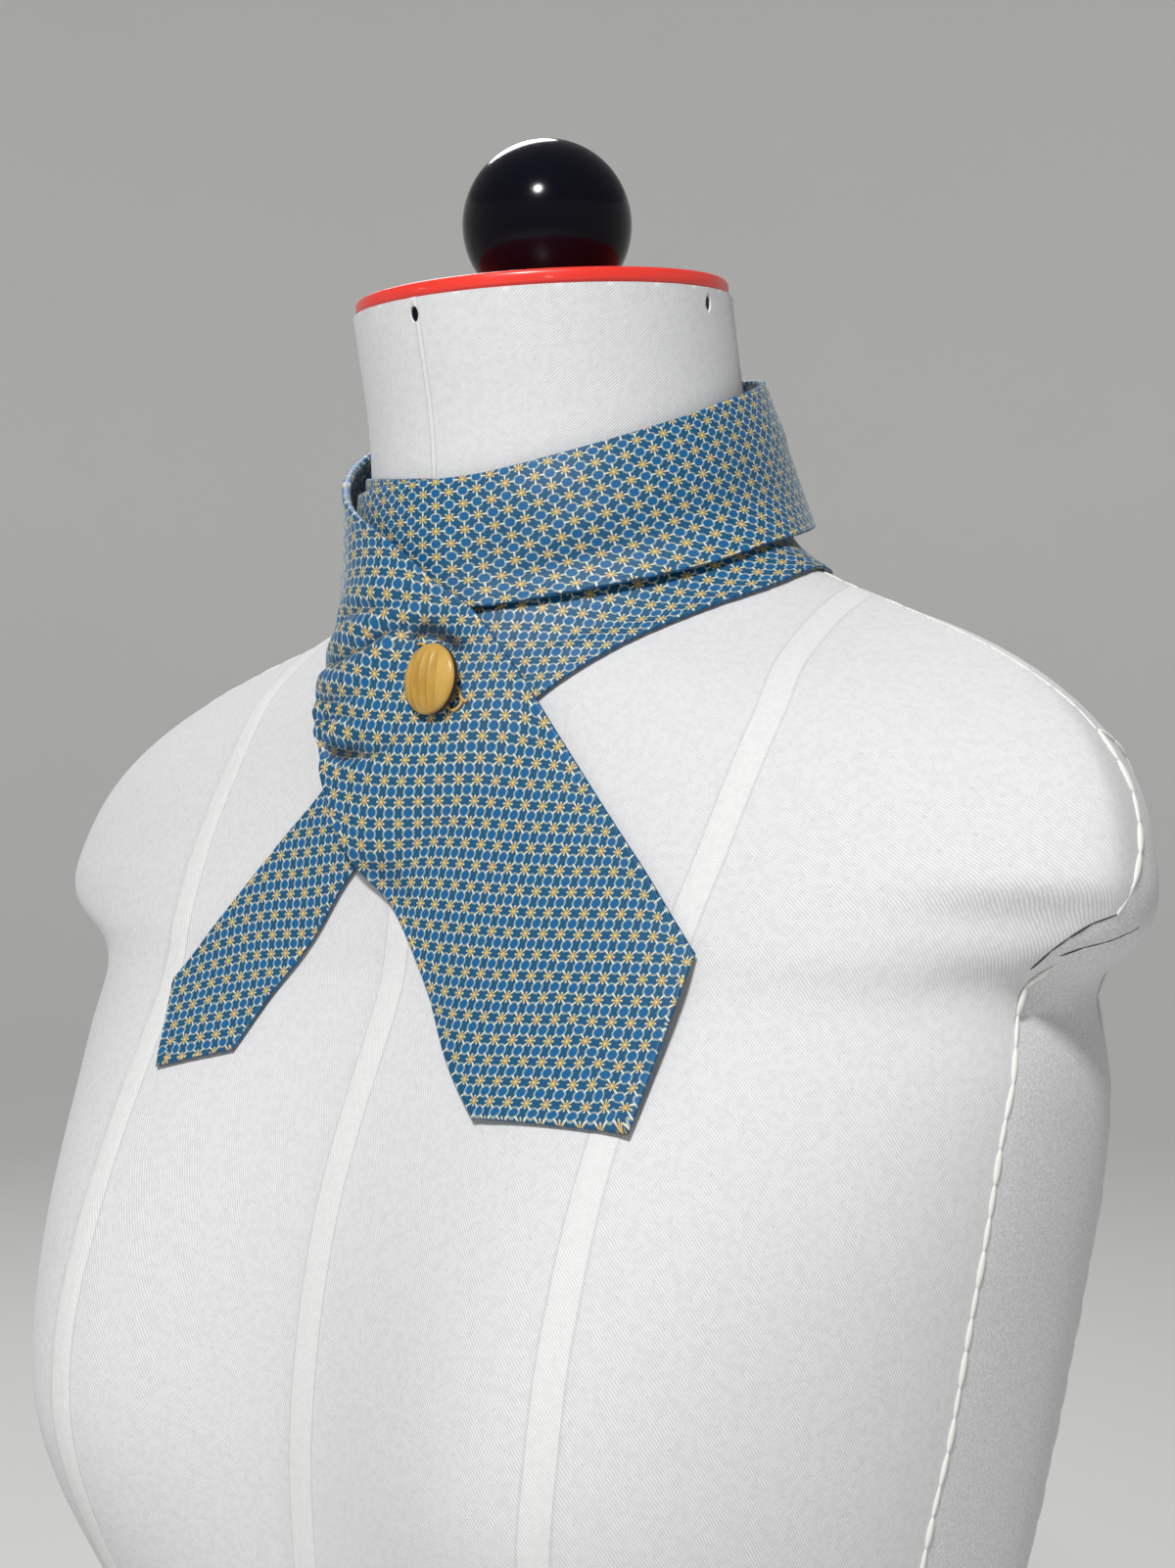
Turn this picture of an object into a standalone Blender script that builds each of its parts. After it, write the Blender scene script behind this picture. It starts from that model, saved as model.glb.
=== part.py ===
"""A buttoned necktie cravat on a limbless dress form.

The cravat is a woven silk necktie wound twice round the neck. Its wide end crosses over the front and is
held by one button. It rests on a hip-length canvas dress form with a red neck cap and a black ball.

Metres, +Z up. The form stands on z = 0 and faces -Y, so the wearer's left is +X.
Heights on the form are given as a drop below the neck's top edge.
"""
import math

import bmesh
import bpy
from mathutils import Matrix, Vector
from mathutils.bvhtree import BVHTree

# ---------------------------------------------------------------- driving dimensions
NECK_TOP = 0.713          # height of the neck's top edge above the floor
NECK_TILT = math.radians(5.4)     # the neck's top leans forward
NECK_TILT_DEPTH = 0.060   # the lean has faded out this far down

CAP_RADIUS = 0.0550       # red disc on the neck
CAP_THICKNESS = 0.0042
CAP_EDGE = 0.0014         # rounding of its rim
KNOB_RADIUS = 0.0251      # black ball on the disc
KNOB_RISE = 0.0250        # ball centre above the neck's top edge
KNOB_BACK = 0.0043        # it stands this far behind the middle of the disc
SEAT_GAP = 0.0003         # touching pieces keep this gap
SHARP_TURN = math.radians(45.0)   # faces that meet at more than this are shaded with an edge
MERGE_GAP = 0.00001

BODY_AROUND = 48          # points round the form
BODY_STEP = 0.020         # tallest ring of faces on the form
CAP_AROUND = 40
KNOB_AROUND = 28
KNOB_STEPS = 14           # rings of faces on the ball
EDGE_STEPS = 3            # rings of faces on a rounded rim

LEFT_SHOULDER_RISE = 0.0035     # the wearer's left shoulder stands this much higher
SHOULDER_DROP = 0.125
SHOULDER_REACH = 0.032

BUST_X = 0.095
BUST_DROP = 0.313
BUST_RISE = 0.034
BUST_HALF_WIDTH = 0.043
BUST_ABOVE = 0.070
BUST_BELOW = 0.048

# The form's outline. ridge is the depth at which the form is widest; the curves are the
# exponents of the front and back halves: 1 is a diamond, 2 an ellipse, more is boxier.
BODY_COLUMNS = ("drop", "half_width", "front", "back", "ridge", "front_curve", "back_curve")
BODY_ROWS = (
    (0.000, 0.0556, -0.0635, 0.0497, -0.0070, 2.0, 2.0),
    (0.015, 0.0553, -0.0606, 0.0534, -0.0038, 2.0, 2.0),
    (0.033, 0.0555, -0.0568, 0.0572, 0.0005, 2.0, 2.0),
    (0.048, 0.0575, -0.0555, 0.0615, 0.0050, 2.0, 2.0),
    (0.061, 0.0605, -0.0553, 0.0650, 0.0090, 1.9, 2.0),
    (0.071, 0.0655, -0.0558, 0.0685, 0.0120, 1.65, 1.9),
    (0.081, 0.0800, -0.0570, 0.0735, 0.0150, 1.35, 1.6),
    (0.091, 0.1040, -0.0585, 0.0785, 0.0140, 1.15, 1.5),
    (0.103, 0.1370, -0.0605, 0.0860, 0.0080, 1.14, 1.6),
    (0.115, 0.1600, -0.0630, 0.0905, 0.0000, 1.28, 1.7),
    (0.129, 0.1775, -0.0655, 0.0950, -0.0080, 1.40, 1.9),
    (0.145, 0.1890, -0.0680, 0.0990, -0.0140, 1.55, 2.0),
    (0.161, 0.1925, -0.0700, 0.1025, -0.0175, 1.75, 2.0),
    (0.169, 0.1935, -0.0710, 0.1040, -0.0180, 1.9, 2.0),
    (0.177, 0.1915, -0.0720, 0.1055, -0.0180, 2.0, 2.0),
    (0.184, 0.1830, -0.0730, 0.1070, -0.0160, 2.2, 2.1),
    (0.190, 0.1710, -0.0735, 0.1080, -0.0140, 2.3, 2.2),
    (0.198, 0.1655, -0.0755, 0.1090, -0.0120, 2.4, 2.3),
    (0.213, 0.1690, -0.0820, 0.1090, -0.0060, 2.4, 2.3),
    (0.243, 0.1660, -0.0940, 0.1080, 0.0000, 2.4, 2.3),
    (0.273, 0.1600, -0.1010, 0.1045, 0.0020, 2.4, 2.3),
    (0.313, 0.1525, -0.1050, 0.0975, 0.0030, 2.4, 2.3),
    (0.343, 0.1465, -0.1045, 0.0920, 0.0030, 2.3, 2.3),
    (0.370, 0.1410, -0.1020, 0.0880, 0.0030, 2.2, 2.2),
    (0.413, 0.1320, -0.0960, 0.0820, 0.0020, 2.2, 2.2),
    (0.453, 0.1250, -0.0900, 0.0765, 0.0020, 2.2, 2.2),
    (0.493, 0.1225, -0.0870, 0.0740, 0.0020, 2.2, 2.2),
    (0.533, 0.1290, -0.0890, 0.0790, 0.0030, 2.2, 2.2),
    (0.583, 0.1470, -0.0950, 0.0950, 0.0050, 2.2, 2.2),
    (0.633, 0.1630, -0.0990, 0.1165, 0.0070, 2.2, 2.2),
    (0.683, 0.1725, -0.1000, 0.1251, 0.0080, 2.2, 2.2),
    (0.713, 0.1715, -0.0990, 0.1220, 0.0080, 2.2, 2.2),
)

WALL = 0.0018             # folded silk with its interlining
LAY_GAP = 0.0004          # a band lies this far above what carries it
SEARCH = 0.030            # how far the layers under a point are looked for
SMOOTH_ROUNDS = 3
FACE_STEPS = 6            # spots checked each way across every face of a band
FOLD_STEPS = 12           # spots along one fold
FOLD_START, FOLD_END = 0.12, 0.92    # part of a half wave that its rise follows along it
TIP_ROWS = 6              # rows of a grid over which a tip is drawn to its point
TIP_RAMP = 1.5

# Each row of a band is one section across it: where its top edge and its low edge lie, by the
# angle round the neck from the front (the wearer's left is positive), the radius and the drop.
BAND_COLUMNS = ("top_angle", "top_radius", "top_drop", "low_angle", "low_radius", "low_drop")

# First turn, from the throat round the wearer's left to the right side of the neck.
LOWER_ROWS = (
    (-7.3, 0.0665, 0.1145, 13.4, 0.0710, 0.1405),
    (7.6, 0.0605, 0.0940, 35.0, 0.0709, 0.1168),
    (24.0, 0.0585, 0.0780, 47.6, 0.0710, 0.1058),
    (42.0, 0.0585, 0.0670, 58.6, 0.0724, 0.0980),
    (62.0, 0.0585, 0.0580, 72.3, 0.0762, 0.0908),
    (84.0, 0.0585, 0.0500, 86.6, 0.0831, 0.0832),
    (105.0, 0.0580, 0.0440, 105.0, 0.0850, 0.0775),
    (130.0, 0.0580, 0.0390, 130.0, 0.0830, 0.0760),
    (155.0, 0.0585, 0.0360, 155.0, 0.0780, 0.0760),
    (180.0, 0.0600, 0.0350, 180.0, 0.0745, 0.0765),
    (205.0, 0.0585, 0.0370, 205.0, 0.0780, 0.0770),
    (230.0, 0.0580, 0.0410, 230.0, 0.0800, 0.0790),
    (264.0, 0.0580, 0.0440, 264.0, 0.0710, 0.0830),
)
# Inner half of the fold, against the neck from the right side to the throat.
PLY_ROWS = (
    (-95.7, 0.0580, 0.0440, -95.7, 0.0600, 0.0720),
    (-70.0, 0.0580, 0.0465, -70.0, 0.0590, 0.0730),
    (-46.0, 0.0580, 0.0498, -46.0, 0.0590, 0.0740),
    (-20.0, 0.0580, 0.0530, -20.0, 0.0590, 0.0760),
    (0.0, 0.0580, 0.0547, 0.0, 0.0590, 0.0770),
    (10.0, 0.0580, 0.0555, 8.0, 0.0590, 0.0770),
)
# Narrow end, from the throat down the wearer's right chest.
TAIL_ROWS = (
    (-7.8, 0.0667, 0.1149, 12.9, 0.0713, 0.1409),
    (-24.4, 0.0741, 0.1410, -9.9, 0.0739, 0.1630),
    (-33.3, 0.0838, 0.1563, -18.8, 0.0807, 0.1831),
    (-40.2, 0.0975, 0.1754, -24.7, 0.0889, 0.1979),
    (-45.2, 0.1135, 0.1967, -26.4, 0.1003, 0.2142),
)
TAIL_TIP = (-37.1, 0.1189, 0.2204)
# Second turn, from the right side over the throat, round the left and the back.
UPPER_ROWS = (
    (-96.0, 0.0580, 0.0480, -96.0, 0.0620, 0.0860),
    (-70.0, 0.0580, 0.0510, -70.0, 0.0610, 0.0890),
    (-46.0, 0.0580, 0.0545, -46.0, 0.0600, 0.0915),
    (-20.0, 0.0578, 0.0553, -20.0, 0.0600, 0.0925),
    (0.0, 0.0578, 0.0554, 0.0, 0.0600, 0.0922),
    (21.0, 0.0577, 0.0541, 18.0, 0.0612, 0.0918),
    (47.0, 0.0578, 0.0477, 43.0, 0.0660, 0.0880),
    (76.0, 0.0581, 0.0380, 71.0, 0.0722, 0.0812),
    (95.0, 0.0582, 0.0310, 95.0, 0.0757, 0.0724),
    (123.0, 0.0599, 0.0220, 123.0, 0.0764, 0.0653),
    (151.0, 0.0617, 0.0160, 151.0, 0.0767, 0.0605),
    (180.0, 0.0622, 0.0135, 180.0, 0.0762, 0.0590),
    (209.0, 0.0617, 0.0160, 209.0, 0.0757, 0.0610),
    (237.0, 0.0617, 0.0220, 237.0, 0.0757, 0.0700),
    (263.7, 0.0632, 0.0295, 263.7, 0.0762, 0.0800),
)
# Wide end, from the right side of the neck across the front to the wearer's left chest.
BLADE_ROWS = (
    (-96.0, 0.0632, 0.0295, -96.0, 0.0762, 0.0800),
    (-75.0, 0.0627, 0.0375, -75.0, 0.0690, 0.0880),
    (-50.0, 0.0622, 0.0503, -52.0, 0.0630, 0.0965),
    (-32.0, 0.0622, 0.0600, -38.0, 0.0645, 0.1010),
    (-15.0, 0.0624, 0.0681, -32.0, 0.0690, 0.1070),
    (-1.4, 0.0632, 0.0765, -27.0, 0.0737, 0.1200),
    (7.6, 0.0634, 0.0841, -22.0, 0.0753, 0.1310),
    (18.0, 0.0634, 0.0919, -18.5, 0.0746, 0.1455),
    (27.6, 0.0672, 0.1043, -9.0, 0.0741, 0.1625),
    (35.4, 0.0739, 0.1170, 2.4, 0.0730, 0.1745),
    (44.2, 0.0866, 0.1373, 14.0, 0.0797, 0.1950),
    (51.1, 0.1060, 0.1597, 22.0, 0.0942, 0.2125),
    (55.5, 0.1255, 0.1820, 28.4, 0.1086, 0.2249),
)
BLADE_TIP = (47.1, 0.1347, 0.2251)

# Soft ridges pulled across the blade where it turns round the throat. A fold runs from start
# through middle to end, each given as a row of the blade and a share of its width from the top edge.
FOLD_COLUMNS = (
    "start_row", "start_share", "middle_row", "middle_share", "end_row", "end_share", "rise", "half_width",
)
BLADE_FOLDS = (
    (3.9, 0.45, 4.9, 0.24, 5.8, 0.05, 0.0012, 0.0034),
    (4.5, 0.78, 5.6, 0.46, 6.6, 0.15, 0.0021, 0.0030),
    (5.0, 0.92, 5.8, 0.62, 6.3, 0.48, 0.0021, 0.0028),
    (5.7, 0.97, 6.3, 0.78, 6.9, 0.60, 0.0018, 0.0028),
    (6.4, 0.97, 6.9, 0.80, 7.5, 0.60, 0.0015, 0.0028),
)

# The button, and the flutes that run up and down its dome.
BUTTON_ROW = 7.47         # place of its thread shank on the blade
BUTTON_SHARE = 0.27
BUTTON_FACING = (-0.09, -0.985, 0.11)
BUTTON_RADIUS = 0.0098
BUTTON_BACK = 0.0032      # length of the shank, and so the height of the button's flat back
BUTTON_EDGE = 0.0012      # rounding of its rim
BUTTON_TOP = 0.0080
BUTTON_AROUND = 40
DOME_STEPS = 8            # rings of faces on its dome
RIM_TURN = 50             # degrees of the rim's rounding above its widest level
SHANK_RADIUS = 0.0016     # wound thread
SHANK_GAP = 0.0007        # the shank leans, and its foot clears the cloth all round
NUDGE = 0.1               # step in rows and in shares that gives the cloth's slope under it
FLUTES = (-0.00655, -0.00365, -0.00075, 0.00215)     # middles of the flutes, left to right
FLUTE_WIDTH = 0.0029
FLUTE_DEPTH = 0.0004
FLUTE_REACH = 0.84        # share of the button's height that a flute runs over
SCOOP_AROUND = 60         # faces round the ring that scoops a flute, and round its tube
SCOOP_TUBE = 28


# ---------------------------------------------------------------- helpers
def clear_scene():
    for thing in list(bpy.data.objects):
        bpy.data.objects.remove(thing, do_unlink=True)


def smooth_value(places, values, place):
    """Value at a place on a smooth curve through a table that never overshoots its rows."""
    last = len(places) - 1
    if place <= places[0]:
        return values[0]
    if place >= places[last]:
        return values[last]
    slopes = [(values[i + 1] - values[i]) / (places[i + 1] - places[i]) for i in range(last)]
    i = max(k for k in range(last) if places[k] <= place)

    def tangent(k):
        if k == 0 or k == last:
            return slopes[min(k, last - 1)]
        before, after = slopes[k - 1], slopes[k]
        if before * after <= 0.0:
            return 0.0
        return 2.0 * before * after / (before + after)

    step = places[i + 1] - places[i]
    t = (place - places[i]) / step
    start = (1.0 + 2.0 * t) * (1.0 - t) ** 2 * values[i] + t * (1.0 - t) ** 2 * step * tangent(i)
    end = t * t * (3.0 - 2.0 * t) * values[i + 1] + t * t * (t - 1.0) * step * tangent(i + 1)
    return start + end


def table_reader(columns, rows):
    """Returns read(place), which gives every column of a table at that value of its first column."""
    table = {name: [row[i] for row in rows] for i, name in enumerate(columns)}
    places = table[columns[0]]

    def read(place):
        return {name: smooth_value(places, table[name], place) for name in columns[1:]}

    return read


def signed_power(value, power):
    return math.copysign(abs(value) ** power, value)


def fade(value, width):
    return math.exp(-0.5 * (value / width) ** 2)


def material(name, colour, roughness, metallic=0.0):
    paint = bpy.data.materials.new(name)
    paint.use_nodes = True
    shader = paint.node_tree.nodes["Principled BSDF"]
    shader.inputs["Base Color"].default_value = (*colour, 1.0)
    shader.inputs["Roughness"].default_value = roughness
    shader.inputs["Metallic"].default_value = metallic
    return paint


def add_object(name, mesh, paint, parts):
    thing = bpy.data.objects.new(name, mesh)
    thing.data.materials.append(paint)
    parts.objects.link(thing)
    return thing


def mesh_from_rings(name, rings, cap_ends):
    """Joins closed rings of points, top to bottom, into one skin."""
    shape = bmesh.new()
    loops = [[shape.verts.new(point) for point in ring] for ring in rings]
    count = len(loops[0])
    for upper, lower in zip(loops, loops[1:]):
        for i in range(count):
            j = (i + 1) % count
            shape.faces.new((upper[i], lower[i], lower[j], upper[j]))
    if cap_ends:
        shape.faces.new(loops[0])
        shape.faces.new(list(reversed(loops[-1])))
    mesh = bpy.data.meshes.new(name)
    shape.to_mesh(mesh)
    shape.free()
    mesh.shade_smooth()
    mesh.set_sharp_from_angle(angle=SHARP_TURN)
    return mesh


# ---------------------------------------------------------------- the dress form
body_at = table_reader(BODY_COLUMNS, BODY_ROWS)


def body_ring(drop):
    """One level ring of the form; near the neck's top it leans forward."""
    size = body_at(drop)
    lean = math.tan(NECK_TILT) * max(0.0, 1.0 - drop / NECK_TILT_DEPTH)
    bust = fade(drop - BUST_DROP, BUST_ABOVE if drop < BUST_DROP else BUST_BELOW)
    ring = []
    for i in range(BODY_AROUND):
        turn = 2.0 * math.pi * i / BODY_AROUND
        across, along = math.cos(turn), math.sin(turn)
        curve = size["front_curve"] if along < 0.0 else size["back_curve"]
        x = size["half_width"] * signed_power(across, 2.0 / curve)
        depth = size["ridge"] - size["front"] if along < 0.0 else size["back"] - size["ridge"]
        y = size["ridge"] + depth * signed_power(along, 2.0 / curve)
        if along < 0.0:
            side = fade(abs(x) - BUST_X, BUST_HALF_WIDTH)
            y -= BUST_RISE * bust * side * math.sqrt(-along)
        z = NECK_TOP - drop + lean * (y - size["ridge"])
        z += LEFT_SHOULDER_RISE * fade(drop - SHOULDER_DROP, SHOULDER_REACH) * max(0.0, across)
        ring.append(Vector((x, y, z)))
    return ring


def body_drops():
    """Drops of the rings: every row of the table, with more where the rows lie far apart."""
    drops = [BODY_ROWS[0][0]]
    for upper, lower in zip(BODY_ROWS, BODY_ROWS[1:]):
        steps = math.ceil((lower[0] - upper[0]) / BODY_STEP)
        drops += [upper[0] + (lower[0] - upper[0]) * (k + 1) / steps for k in range(steps)]
    return drops


def build_form_body(parts):
    canvas = material("canvas", (0.80, 0.79, 0.76), 0.9)
    rings = [body_ring(drop) for drop in body_drops()]
    return add_object("form_body", mesh_from_rings("form_body", rings, True), canvas, parts)


def neck_frame():
    """Placement whose origin is the middle of the neck's top and whose Z leans forward with it."""
    size = BODY_ROWS[0]
    middle = Vector((0.0, size[BODY_COLUMNS.index("ridge")], NECK_TOP))
    return Matrix.Translation(middle) @ Matrix.Rotation(NECK_TILT, 4, "X")


def turned_mesh(name, profile, steps):
    """Turns a profile, given as (radius, height) from the bottom axis point to the top one."""
    shape = bmesh.new()
    corners = [shape.verts.new((radius, 0.0, height)) for radius, height in profile]
    edges = [shape.edges.new(pair) for pair in zip(corners, corners[1:])]
    bmesh.ops.spin(
        shape, geom=corners + edges, cent=(0, 0, 0), axis=(0, 0, 1), angle=2.0 * math.pi, steps=steps,
        use_merge=True,
    )
    bmesh.ops.remove_doubles(shape, verts=shape.verts, dist=MERGE_GAP)
    bmesh.ops.recalc_face_normals(shape, faces=shape.faces)
    mesh = bpy.data.meshes.new(name)
    shape.to_mesh(mesh)
    shape.free()
    mesh.shade_smooth()
    mesh.set_sharp_from_angle(angle=SHARP_TURN)
    return mesh


def arc(centre, radius, start, end, steps):
    """Points of an arc in a (radius, height) profile, angles in degrees from the outward direction."""
    points = []
    for i in range(steps + 1):
        turn = math.radians(start + (end - start) * i / steps)
        points.append((centre[0] + radius * math.cos(turn), centre[1] + radius * math.sin(turn)))
    return points


def build_neck_cap(parts):
    """The red disc with a rounded rim that closes the neck."""
    edge = CAP_EDGE
    low, high = SEAT_GAP, SEAT_GAP + CAP_THICKNESS
    profile = [(0.0, low), *arc((CAP_RADIUS - edge, low + edge), edge, -90, 0, EDGE_STEPS)]
    profile += [*arc((CAP_RADIUS - edge, high - edge), edge, 0, 90, EDGE_STEPS), (0.0, high)]
    red = material("red_plastic", (0.85, 0.05, 0.03), 0.45)
    cap = add_object("neck_cap", turned_mesh("neck_cap", profile, CAP_AROUND), red, parts)
    cap.matrix_world = neck_frame()
    return cap


def build_neck_knob(parts):
    """The black ball, cut flat where it stands on the disc."""
    seat = CAP_THICKNESS + 2.0 * SEAT_GAP
    low_turn = math.degrees(math.asin((seat - KNOB_RISE) / KNOB_RADIUS))
    ball = arc((0.0, KNOB_RISE), KNOB_RADIUS, low_turn, 90, KNOB_STEPS)
    profile = [(0.0, seat), *ball[:-1], (0.0, KNOB_RISE + KNOB_RADIUS)]
    black = material("black_gloss", (0.01, 0.01, 0.015), 0.15)
    knob = add_object("neck_knob", turned_mesh("neck_knob", profile, KNOB_AROUND), black, parts)
    knob.matrix_world = neck_frame() @ Matrix.Translation((0.0, KNOB_BACK, 0.0))
    return knob


# ---------------------------------------------------------------- the cloth
def around_neck(angle, radius, drop):
    """Point at an angle round the neck from the front, a radius from its axis and a drop."""
    turn = math.radians(angle)
    return Vector((radius * math.sin(turn), -radius * math.cos(turn), NECK_TOP - drop))


def through(values, position):
    """Catmull-Rom value at a fractional row of a list."""
    last = len(values) - 1
    i = min(int(position), last - 1)
    t = position - i
    before, start = values[max(i - 1, 0)], values[i]
    end, after = values[i + 1], values[min(i + 2, last)]
    return 0.5 * (
        2.0 * start
        + (end - before) * t
        + (2.0 * before - 5.0 * start + 4.0 * end - after) * t * t
        + (3.0 * start - before - 3.0 * end + after) * t * t * t
    )


def edge_point(rows, first_column, position):
    """One edge of a band at a fractional row; its three columns are angle, radius and drop."""
    picked = [through([row[first_column + k] for row in rows], position) for k in range(3)]
    return around_neck(*picked)


TOP_EDGE, LOW_EDGE = 0, 3     # first columns of the two edges in every band table


def band_grid(rows, per_row, across, tip=None):
    """Points of a band's inner face: rows along its length, each from the top edge to the low edge.

    A tip point turns the last rows into the tie's pointed end.
    """
    count = (len(rows) - 1) * per_row
    grid = []
    for i in range(count + 1):
        place = i / per_row
        top = edge_point(rows, TOP_EDGE, place)
        low = edge_point(rows, LOW_EDGE, place)
        grid.append([top.lerp(low, j / across) for j in range(across + 1)])
    if tip:
        middle = (grid[-1][0] + grid[-1][-1]) / 2.0
        reach = around_neck(*tip) - middle
        shares = [1.0 - abs(2.0 * j / across - 1.0) for j in range(across + 1)]
        start = count - TIP_ROWS
        for i in range(start + 1, count + 1):
            ramp = ((i - start) / TIP_ROWS) ** TIP_RAMP
            grid[i] = [point + reach * share * ramp for point, share in zip(grid[i], shares)]
    return grid


class Support:
    """What a band lies on: the form and the bands already wound round it."""

    def __init__(self, form):
        self.form = self.tree(form)
        self.layers = [self.form]

    @staticmethod
    def tree(thing):
        bpy.context.view_layer.update()
        graph = bpy.context.evaluated_depsgraph_get()
        skin = thing.evaluated_get(graph).to_mesh()
        skin.calc_loop_triangles()
        points = [thing.matrix_world @ vertex.co for vertex in skin.vertices]
        return BVHTree.FromPolygons(points, [tuple(face.vertices) for face in skin.loop_triangles])

    def add(self, thing):
        self.layers.append(self.tree(thing))

    def laid(self, point, lift):
        """The point moved onto the form, a lift above it."""
        spot, normal, _, _ = self.form.find_nearest(point)
        return spot + normal * lift

    def outward(self, point):
        return self.form.find_nearest(point)[1]

    def shortfall(self, point, lift):
        """How far the point has to move out to lie a lift above every layer."""
        normal = self.outward(point)
        start = point + normal * SEARCH
        height = 0.0
        for layer in self.layers:
            spot, _, _, distance = layer.ray_cast(start, -normal, 2.0 * SEARCH)
            if spot is not None:
                height = max(height, SEARCH - distance + lift)
        return height

    def cleared(self, grid, lift):
        """The grid with each point moved out until it clears every layer."""
        return [[point + self.outward(point) * self.shortfall(point, lift) for point in row] for row in grid]

    def settled(self, grid, lift):
        """The grid moved out until the faces between its points clear every layer too."""
        shares = [k / FACE_STEPS for k in range(FACE_STEPS + 1)]
        needs = [[0.0] * len(row) for row in grid]
        for i in range(len(grid) - 1):
            for j in range(len(grid[i]) - 1):
                need = 0.0
                for along in shares:
                    left = grid[i][j].lerp(grid[i + 1][j], along)
                    right = grid[i][j + 1].lerp(grid[i + 1][j + 1], along)
                    for across in shares:
                        need = max(need, self.shortfall(left.lerp(right, across), lift))
                for row, column in ((i, j), (i, j + 1), (i + 1, j), (i + 1, j + 1)):
                    needs[row][column] = max(needs[row][column], need)
        return [
            [point + self.outward(point) * need for point, need in zip(row, row_needs)]
            for row, row_needs in zip(grid, needs)
        ]


def smoothed(grid, rounds):
    """Draws each inner point of a grid half-way to the middle of its neighbours; the edges stay."""
    for _ in range(rounds):
        fresh = [list(row) for row in grid]
        for i in range(1, len(grid) - 1):
            for j in range(1, len(grid[i]) - 1):
                middle = (grid[i - 1][j] + grid[i + 1][j] + grid[i][j - 1] + grid[i][j + 1]) / 4.0
                fresh[i][j] = grid[i][j].lerp(middle, 0.5)
        grid = fresh
    return grid


def grid_point(grid, row, share):
    """Point of the blade's grid at a fractional row of its table and a share of its width."""
    along = row * (len(grid) - 1) / (len(BLADE_ROWS) - 1)
    across = share * (len(grid[0]) - 1)
    i = min(int(along), len(grid) - 2)
    j = min(int(across), len(grid[0]) - 2)
    near = grid[i][j].lerp(grid[i][j + 1], across - j)
    far = grid[i + 1][j].lerp(grid[i + 1][j + 1], across - j)
    return near.lerp(far, along - i)


def fold_line(grid, fold):
    """Spots along one fold of the blade, each with the share of the fold's rise that it has there."""
    size = dict(zip(FOLD_COLUMNS, fold))
    spots = []
    for k in range(FOLD_STEPS + 1):
        t = k / FOLD_STEPS
        start, middle, end = (1.0 - t) * (1.0 - 2.0 * t), 4.0 * t * (1.0 - t), t * (2.0 * t - 1.0)
        row = start * size["start_row"] + middle * size["middle_row"] + end * size["end_row"]
        share = start * size["start_share"] + middle * size["middle_share"] + end * size["end_share"]
        strength = math.sin(math.pi * (FOLD_START + (FOLD_END - FOLD_START) * t))
        spots.append((grid_point(grid, row, share), strength))
    return spots


def raise_folds(grid, support):
    """Lifts soft ridges on the blade that fade out along both ends."""
    lines = [(fold_line(grid, fold), *fold[-2:]) for fold in BLADE_FOLDS]
    lifted = []
    for row in grid:
        lifted.append([])
        for point in row:
            lift = 0.0
            for spots, rise, half_width in lines:
                near = [strength * fade((point - spot).length, half_width) for spot, strength in spots]
                lift += rise * max(near)
            lifted[-1].append(point + support.outward(point) * lift)
    return lifted


def cloth_wall(name, grid, paint, support, parts):
    """A grid of points made a cloth wall; the points are its inner face."""
    shape = bmesh.new()
    verts = [[shape.verts.new(point) for point in row] for row in grid]
    for row, after in zip(verts, verts[1:]):
        for j in range(len(row) - 1):
            shape.faces.new((row[j], row[j + 1], after[j + 1], after[j]))
    shape.normal_update()
    shape.faces.ensure_lookup_table()
    if shape.faces[0].normal.dot(support.outward(grid[0][0])) < 0.0:
        bmesh.ops.reverse_faces(shape, faces=shape.faces)
    mesh = bpy.data.meshes.new(name)
    shape.to_mesh(mesh)
    shape.free()
    mesh.shade_smooth()
    band = add_object(name, mesh, paint, parts)
    wall = band.modifiers.new("wall", "SOLIDIFY")
    wall.thickness = WALL
    wall.offset = 1.0
    return band


def build_band(name, rows, look, support, paint, parts):
    """One stretch of the tie. A hugging band lies on the form all over; the others only keep clear."""
    grid = band_grid(rows, look["per_row"], look["across"], look.get("tip"))
    if look["hug"]:
        grid = [[support.laid(point, LAY_GAP) for point in row] for row in grid]
    grid = smoothed(support.cleared(grid, LAY_GAP), SMOOTH_ROUNDS)
    grid = support.settled(grid, LAY_GAP)
    if name == "blade":
        grid = raise_folds(grid, support)
    band = cloth_wall(name, grid, paint, support, parts)
    support.add(band)
    return grid


BANDS = (
    ("lower_band", LOWER_ROWS, {"per_row": 3, "across": 6, "hug": True}),
    ("inner_ply", PLY_ROWS, {"per_row": 2, "across": 3, "hug": True}),
    ("tail", TAIL_ROWS, {"per_row": 4, "across": 6, "hug": True, "tip": TAIL_TIP}),
    ("upper_band", UPPER_ROWS, {"per_row": 3, "across": 6, "hug": False}),
    ("blade", BLADE_ROWS, {"per_row": 4, "across": 20, "hug": False, "tip": BLADE_TIP}),
)


# ---------------------------------------------------------------- the button
def button_frame(blade):
    """Placement on the blade's grid: origin at the shank's foot, Z the way the button faces."""
    middle = grid_point(blade, BUTTON_ROW, BUTTON_SHARE)
    along = grid_point(blade, BUTTON_ROW + NUDGE, BUTTON_SHARE) - middle
    across = grid_point(blade, BUTTON_ROW, BUTTON_SHARE + NUDGE) - middle
    outward = across.cross(along).normalized()
    facing = Vector(BUTTON_FACING).normalized()
    side = Vector((0.0, 0.0, 1.0)).cross(facing).normalized()
    turn = Matrix((side, facing.cross(side), facing)).transposed().to_4x4()
    return Matrix.Translation(middle + outward * WALL + facing * SHANK_GAP) @ turn


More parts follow.
